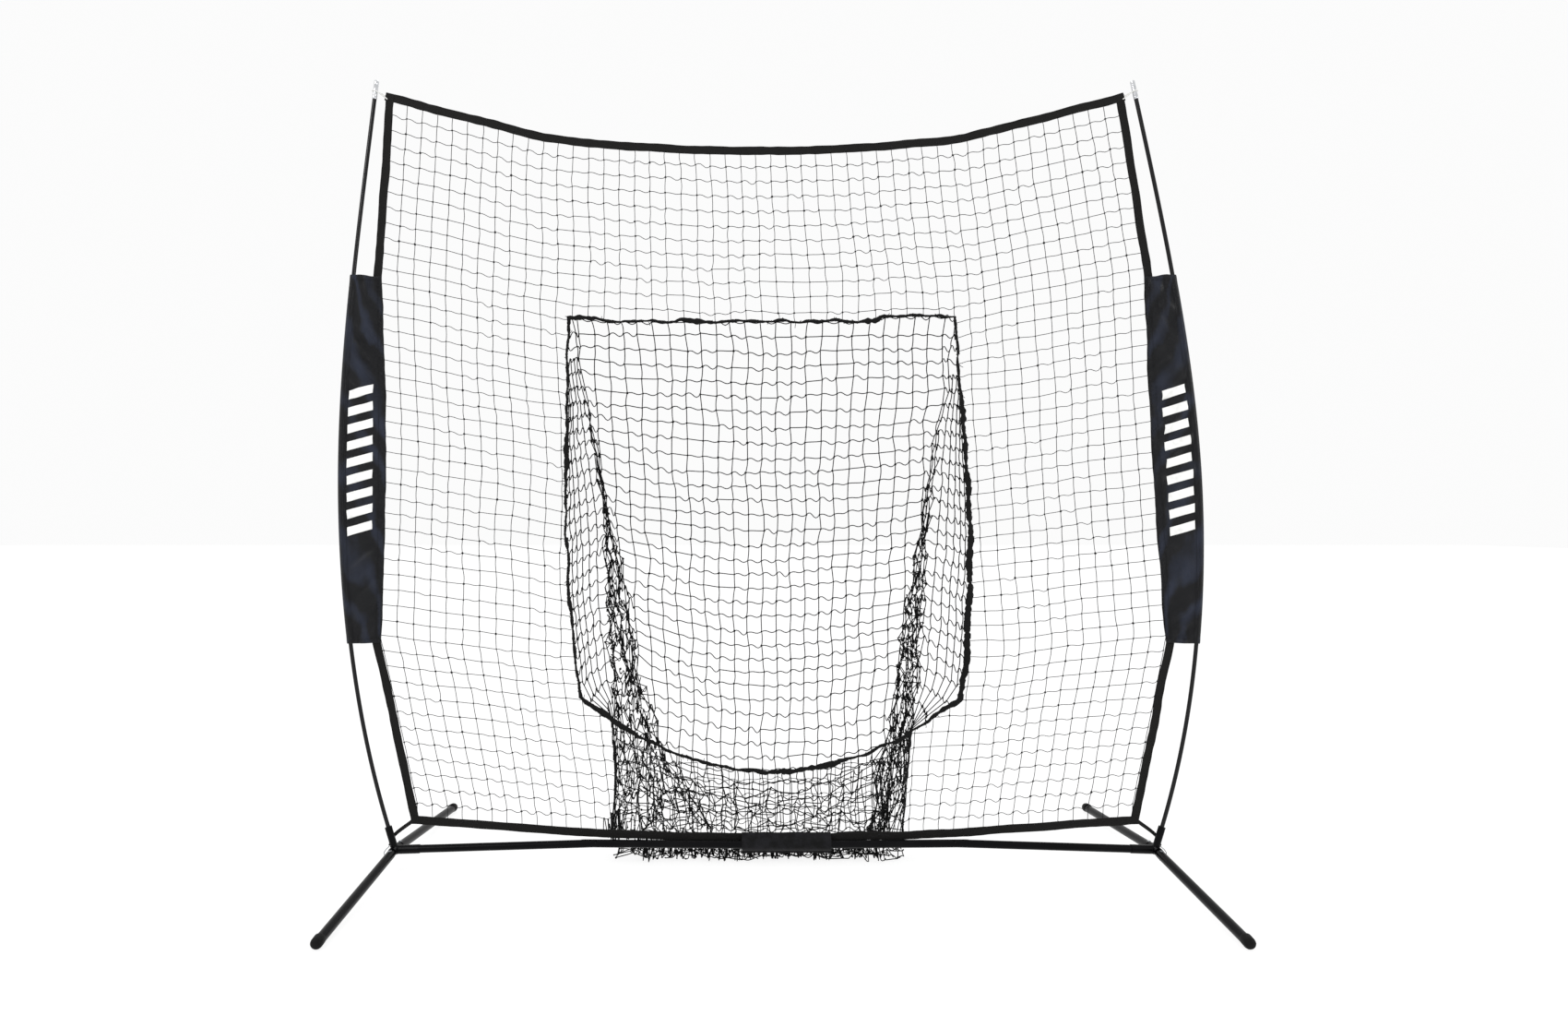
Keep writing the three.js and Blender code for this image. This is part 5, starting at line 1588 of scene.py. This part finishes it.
@dataclass
class Feet:
    """Four folding foot tubes with rounded rubber caps."""

    radius: float = 12.5
    cap: float = 14.3

    def build(self) -> None:
        """Builds each foot's tube and its cap."""
        for end in ("front", "rear"):
            for side in Side:
                label = f"{end}_{side.label}"
                Tube(f"foot_tube_{label}", f"foot_rod_{label}", self.radius, COATED_STEEL,
                     "powder_coated_steel").build()
                self.end_cap(label)

    def end_cap(self, label: str) -> None:
        """Builds a moulded cap over a foot's end, flat underneath where it stands."""
        node = f"foot_cap_{label}"
        low, high = axis_of(node)
        hub = np.array([np.sign(low[0]) * LAYOUT.hub_half, 0.0, LAYOUT.hub_z])
        near, far = sorted((low, high), key=lambda p: float(np.linalg.norm(p - hub)))
        wide = self.cap
        profile = np.array([(0, wide - 1.1), (0.5, wide - 0.4), (1.5, wide), (12, wide), (19, wide),
                            (24, wide - 1.0), (27.5, 11.0), (29.4, 7.5), (30, 3.0)])
        way = unit(far - near)
        shell = Shell()
        sweep(shell, near + way * profile[:, :1], circle(40), scale=profile[:, 1], facing=UP,
              ends=Ends.FLAT)
        shell.points[-1][:, 2] = np.maximum(shell.points[-1][:, 2], 0.15)
        shell.make(f"foot_end_cap_{label}", RUBBER, body_of(node), "foot_rubber", (node,))


@dataclass
class Poles:
    """The two bow poles, each of three fibreglass sections, with polished tips."""

    layout: Layout = LAYOUT
    radius: float = 5.7
    cuts: tuple = (800.0, 1470.0)

    def build(self) -> None:
        """Builds the six sections and the two tips."""
        lay = self.layout
        for side in Side:
            ends = (66.0, *self.cuts, lay.tip_z - 8)
            for n, part in enumerate(("lower", "middle", "upper")):
                z = np.linspace(ends[n] + 0.4, ends[n + 1] - 0.4, 90)
                shell = Shell()
                sweep(shell, lay.pole(side, z), circle(32), scale=self.radius, ends=Ends.FLAT)
                shell.make(f"pole_rod_{part}_{side.label}", FIBREGLASS, "frame", "fibreglass",
                           (f"pole_{part}_{side.label}",))
            self.tip(side)

    def tip(self, side: Side) -> None:
        """Builds the polished ferrule over a pole's end, with rolled grooves and a domed end."""
        height = 54.0
        low = self.layout.tip_z - height
        profile = [(0, 6.2), (0.4, 6.6), (6, 6.6), (7, 6.35), (8, 6.35), (9, 6.6), (40, 6.6),
                   (41, 6.3), (42, 6.3), (43, 6.6), (50, 6.6), (51.8, 6.2), (53, 5.0), (53.8, 3.0),
                   (54, 0.8)]
        z, radius = (np.array(values, float) for values in zip(*profile))
        middle = low + height / 2
        ends = self.layout.pole(side, np.array([low, low + height]))
        way = unit(ends[1] - ends[0])
        centre = (ends[0] + ends[1]) / 2
        line = centre + way * (z + low - middle)[:, None]
        shell = Shell()
        sweep(shell, line, circle(40), scale=radius, ends=Ends.FLAT)
        shell.make(f"pole_tip_cap_{side.label}", NICKEL, "frame", "polished_nickel",
                   (f"pole_tip_{side.label}",))


@dataclass
class Base:
    """The crossbar between the hubs, and the welded hub brackets.

    Attributes:
        radius: The crossbar's radius.
        hub: Radius of the hub's foot tube, which the weld beads follow.
        socket: Radius of the bead round the pole socket.
        stub: Radius of the bead round the crossbar's stub.
        layout: The net's main lines.
    """

    radius: float = 11.0
    hub: float = 12.5
    socket: float = 9.8
    stub: float = 12.2
    layout: Layout = LAYOUT

    def build(self) -> None:
        """Builds the crossbar and dresses the brackets, rivets, buttons and ferrules."""
        for side in Side:
            for part in ("outer", "inner"):
                Tube(f"crossbar_{part}_{side.label}", f"crossbar_tube_{part}_{side.label}",
                     self.radius, COATED_STEEL, "powder_coated_steel").build()
            self.welds(side)
        for name, node in frame["nodes"].items():
            if name.startswith(("foot_rivet", "stub_button", "joint_button", "pole_ferrule")):
                self.dress(node, ZINC, 0.35)
            elif name.startswith(("hub_bracket", "crossbar_spigot")):
                self.dress(node, COATED_STEEL, 0.6)

    def dress(self, node: bpy.types.Object, finish: Finish, edge: float) -> None:
        """Gives a CAD node its finish, and softens its edges with a modifier.

        Args:
            node: The CAD node.
            finish: Its finish.
            edge: How wide its softened edges are, in millimetres.
        """
        node.data.materials.clear()
        node.data.materials.append(finish.material())
        weld = node.modifiers.new("weld", "WELD")
        weld.merge_threshold = 0.02 * MM
        bevel = node.modifiers.new("soft_edges", "BEVEL")
        bevel.width = edge * MM
        bevel.segments = 2
        bevel.limit_method = "ANGLE"
        bevel.angle_limit = math.radians(40)
        LOG.info("%s: dressed in %s", node.name, finish.name)

    def welds(self, side: Side) -> None:
        """Adds weld beads where the bracket's tubes meet."""
        sign = side.value
        rng = np.random.default_rng(80 + sign)
        shell = Shell()
        angle = np.linspace(0, 2 * math.pi, 65)[:-1]
        sizes = 1.5 + 0.35 * np.sin(angle * 14) + rng.uniform(-0.2, 0.2, 64)
        lay = self.layout
        middle, height, slope = sign * lay.hub_half, lay.hub_z, lay.socket_slope
        along, across = self.socket * np.cos(angle), self.socket * np.sin(angle)
        saddle = np.sqrt(np.clip(self.hub**2 - along**2, 1, None))
        ring = np.stack([middle + along + sign * saddle * slope, across, height + saddle + 0.3],
                        axis=1)
        sweep(shell, ring, circle(8), scale=sizes, facing=(0.1, 0.2, 1.0), ends=Ends.JOINED)
        up, across = self.stub * np.cos(angle), self.stub * np.sin(angle)
        out = np.sqrt(np.clip(self.hub**2 - up**2, 0.5, None)) + 0.2
        ring = np.stack([middle - sign * out, across, height + up], axis=1)
        sweep(shell, ring, circle(8), scale=sizes, facing=(1.0, 0.1, 0.2), ends=Ends.JOINED)
        shell.make(f"weld_beads_{side.label}", COATED_STEEL, "frame", "powder_coated_steel")


@dataclass
class CentreWrap:
    """A hook-and-loop band round the crossbar and bottom hem, its ends pressed together below."""

    centre_x: float = 32.0
    length: float = 254.0
    thick: float = 1.8

    def build(self) -> None:
        """Builds the band as one closed layer with puckers."""
        rng = np.random.default_rng(97)
        outline = through([
            (1.3, 41.5), (1.9, 46.5), (6.0, 51.0), (11.8, 56.5), (15.4, 66), (17.9, 80),
            (17.6, 91), (14.2, 95.0), (9.5, 93.0), (2.0, 85.5), (-7.5, 77.5), (-12.6, 69),
            (-13.4, 60), (-9.5, 52.5), (-3.5, 48.5), (-1.9, 46.5), (-1.3, 41.5),
        ], 84)
        x = np.linspace(-self.length / 2, self.length / 2, 110)[:, None]
        y, z = (np.tile(column, (len(x), 1)) for column in outline.T)
        centre_y, centre_z = 2.0, 72.0
        places = np.stack([np.broadcast_to(x, y.shape), y * 2, z * 2], axis=-1)
        free = np.clip((z - 47) / 8, 0, 1)
        pucker = smooth_noise(rng, places, 55.0) * 0.55 + smooth_noise(rng, places, 20.0) * 0.18
        pucker = pucker * free
        out = unit(np.stack([y - centre_y, z - centre_z], axis=-1))
        y, z = y + out[..., 0] * (pucker + 0.2), z + out[..., 1] * (pucker + 0.2)
        outer = np.stack([np.broadcast_to(x, y.shape) + self.centre_x, y, z], axis=-1)
        normal = unit(np.cross(np.gradient(outer, axis=0), np.gradient(outer, axis=1)))
        toward = np.concatenate([np.zeros(y.shape + (1,)), -out], axis=-1)
        normal *= np.sign((normal * toward).sum(axis=-1, keepdims=True))
        inner = outer + normal * self.thick * np.clip(free + 0.5, 0, 1)[..., None]
        index, edge = grid_numbers(*y.shape)
        corners = [index[:-1, :-1], index[1:, :-1], index[1:, 1:], index[:-1, 1:]]
        front = np.stack(corners, axis=-1).reshape(-1, 4)
        after = np.roll(edge, -1)
        faces = [front, front[:, ::-1] + y.size,
                 np.stack([edge, after, after + y.size, edge + y.size], axis=1)]
        run = np.broadcast_to(np.linspace(0, 170, y.shape[1]), y.shape)
        uv = np.tile(np.stack([run, np.broadcast_to(x, y.shape)], -1).reshape(-1, 2), (2, 1))
        shell = Shell()
        shell.extend(np.concatenate([outer.reshape(-1, 3), inner.reshape(-1, 3)]), faces,
                     [uv[f] for f in faces])
        band = shell.make("centre_band", LOOP_FABRIC, "frame", "loop_fabric", ("centre_wrap",))


@dataclass
class Ties:
    """Elastic ties and wire hooks at the bottom corners, and light loops at the top ones."""

    layout: Layout = LAYOUT

    def build(self) -> None:
        """Builds the ties, hooks and loops of both sides."""
        for side in Side:
            self.corner(side)
            self.hook(side)
            self.loop(side)

    def cord(self, name: str, points: list, radius: float, finish: Finish, slot: str, node: str,
             count: int = 80) -> None:
        """Builds one cord or wire through points."""
        shell = Shell()
        sweep(shell, through(points, count), circle(14) * radius, facing=(0.25, 1.0, 0.1),
              ends=Ends.DOMED)
        shell.make(name, finish, "frame", slot, (node,))

    def corner(self, side: Side) -> None:
        """Elastic tie from the net's bottom corner, behind the socket, to the hook."""
        sign, lay = side.value, self.layout
        start = float(lay.hem(side, 112.0)) + sign * 6
        hub = sign * lay.hub_half
        points = [(start, 15.5, 127), (start + sign * 9, 17.5, 121), (hub + sign * 6, 17.0, 88),
                  (hub + sign * 19, 9.5, 63)]
        shell = Shell()
        for shift in (-2.9, 2.9):
            moved = [(x, y + shift * 0.4, z + shift) for x, y, z in points]
            sweep(shell, through(moved, 80), circle(14) * 3.0, facing=(0.25, 1.0, 0.1),
                  ends=Ends.DOMED)
        for x, y, z, size in ((start + sign * 12, 17.2, 118.5, 4.4),
                              (hub + sign * 17, 10.6, 66, 3.6)):
            angle = np.linspace(0, 2 * math.pi, 33)[:-1]
            ring = np.stack([x + 2.2 * np.cos(angle), y + size * 0.6 * np.sin(angle),
                             z + size * 0.8 * np.cos(angle + 0.6)], axis=1)
            sweep(shell, ring, circle(10) * 1.7, facing=(1.0, 0.2, 0.4), ends=Ends.JOINED)
        shell.make(f"corner_elastic_{side.label}", ELASTIC, "frame", "elastic_cord",
                   (f"corner_tie_{side.label}",))

    def hook(self, side: Side) -> None:
        """Bent wire hook on the outside of the hub."""
        sign = side.value
        hub = sign * (self.layout.hub_half + 19)
        points = [(hub + sign * x, y, z) for x, y, z in
                  ((0, 9, 61), (2, 8, 55), (9, 4, 48), (12, -2, 40), (6, -5, 35), (1, -4, 41))]
        self.cord(f"wire_hook_{side.label}", points, 1.1, ZINC, "zinc_plated_steel",
                  f"tie_hook_{side.label}", 90)

    def loop(self, side: Side) -> None:
        """Light elastic loop from the net's top corner round the pole's tip."""
        sign, lay = side.value, self.layout
        start = float(lay.hem(side, 2190.0)) + sign * 6
        pole = lay.pole(side, np.array(2206.0))
        points = [(start, 17, 2190), (start + sign * 8, 15, 2198), (pole[0] - sign * 4, 9.5, 2205),
                  (pole[0] + sign * 7, 6.5, 2206), (pole[0] + sign * 8.6, -2, 2205),
                  (pole[0] + sign * 1, -8.6, 2203), (pole[0] - sign * 8, -4, 2200),
                  (start + sign * 8, 9.5, 2192), (start, 10.5, 2186)]
        self.cord(f"corner_loop_{side.label}", points, 1.5, WHITE_ELASTIC, "light_elastic",
                  f"top_loop_{side.label}", 110)


# ---- studio -------------------------------------------------------------------------------------
@dataclass
class Studio:
    """A plain pale floor, soft light and the camera."""

    place: tuple = (-0.0947, -2.798, 0.982)
    lens: float = 22.606
    shift: tuple = (0.0269, 0.0089)

    def build(self) -> None:
        """Sets up the floor, the lamps, the sky and the camera."""
        bpy.ops.mesh.primitive_plane_add(size=60, location=(0, 8, -0.002))
        floor = bpy.context.object
        floor.name = "floor"
        floor.data.materials.append(PAPER.material())
        for name, where, size, power, aim in (
            ("key", (-2.8, -3.0, 3.4), 1.1, 42, (0, 0, 1.0)),
            ("fill", (3.6, -2.6, 2.0), 0.9, 26, (0, 0, 0.9)),
            ("top", (0, 1.2, 5.0), 2.4, 40, (0, 0, 0.6)),
        ):
            self.lamp(name, where, size, power, aim)
        world = bpy.data.worlds.new("studio")
        bpy.context.scene.world = world
        world.use_nodes = True
        sky = world.node_tree.nodes["Background"]
        sky.inputs["Color"].default_value = linear("ffffff")
        sky.inputs["Strength"].default_value = 0.97
        bpy.context.scene.view_settings.view_transform = "Standard"
        data = bpy.data.cameras.new("camera")
        data.lens, data.sensor_width = self.lens, 36
        data.shift_x, data.shift_y = self.shift
        camera = bpy.data.objects.new("camera", data)
        bpy.context.scene.collection.objects.link(camera)
        camera.location = self.place
        camera.rotation_euler = (math.pi / 2, 0, 0)
        bpy.context.scene.camera = camera

    def lamp(self, name: str, where: tuple, size: float, power: float, aim: tuple) -> None:
        """Adds a soft square lamp.

        Args:
            name: The lamp's name.
            where: Its place.
            size: Its side.
            power: Its power in watts.
            aim: The place it points at.
        """
        data = bpy.data.lights.new(name, "AREA")
        data.size, data.energy = size, power
        lamp = bpy.data.objects.new(name, data)
        bpy.context.scene.collection.objects.link(lamp)
        lamp.location = where
        away = lamp.location - type(lamp.location)(aim)
        lamp.rotation_euler = away.to_track_quat("Z", "Y").to_euler()


def main() -> None:
    """Builds the net and its studio."""
    logging.basicConfig(level=logging.INFO, format="%(message)s")
    Base().build()
    Feet().build()
    Poles().build()
    Hems().build()
    FaceNet().build()
    Rim().build()
    Pocket().build()
    for side in Side:
        SidePanel(side).build()
    CentreWrap().build()
    Ties().build()
    Studio().build()


if __name__ == "__main__":
    main()
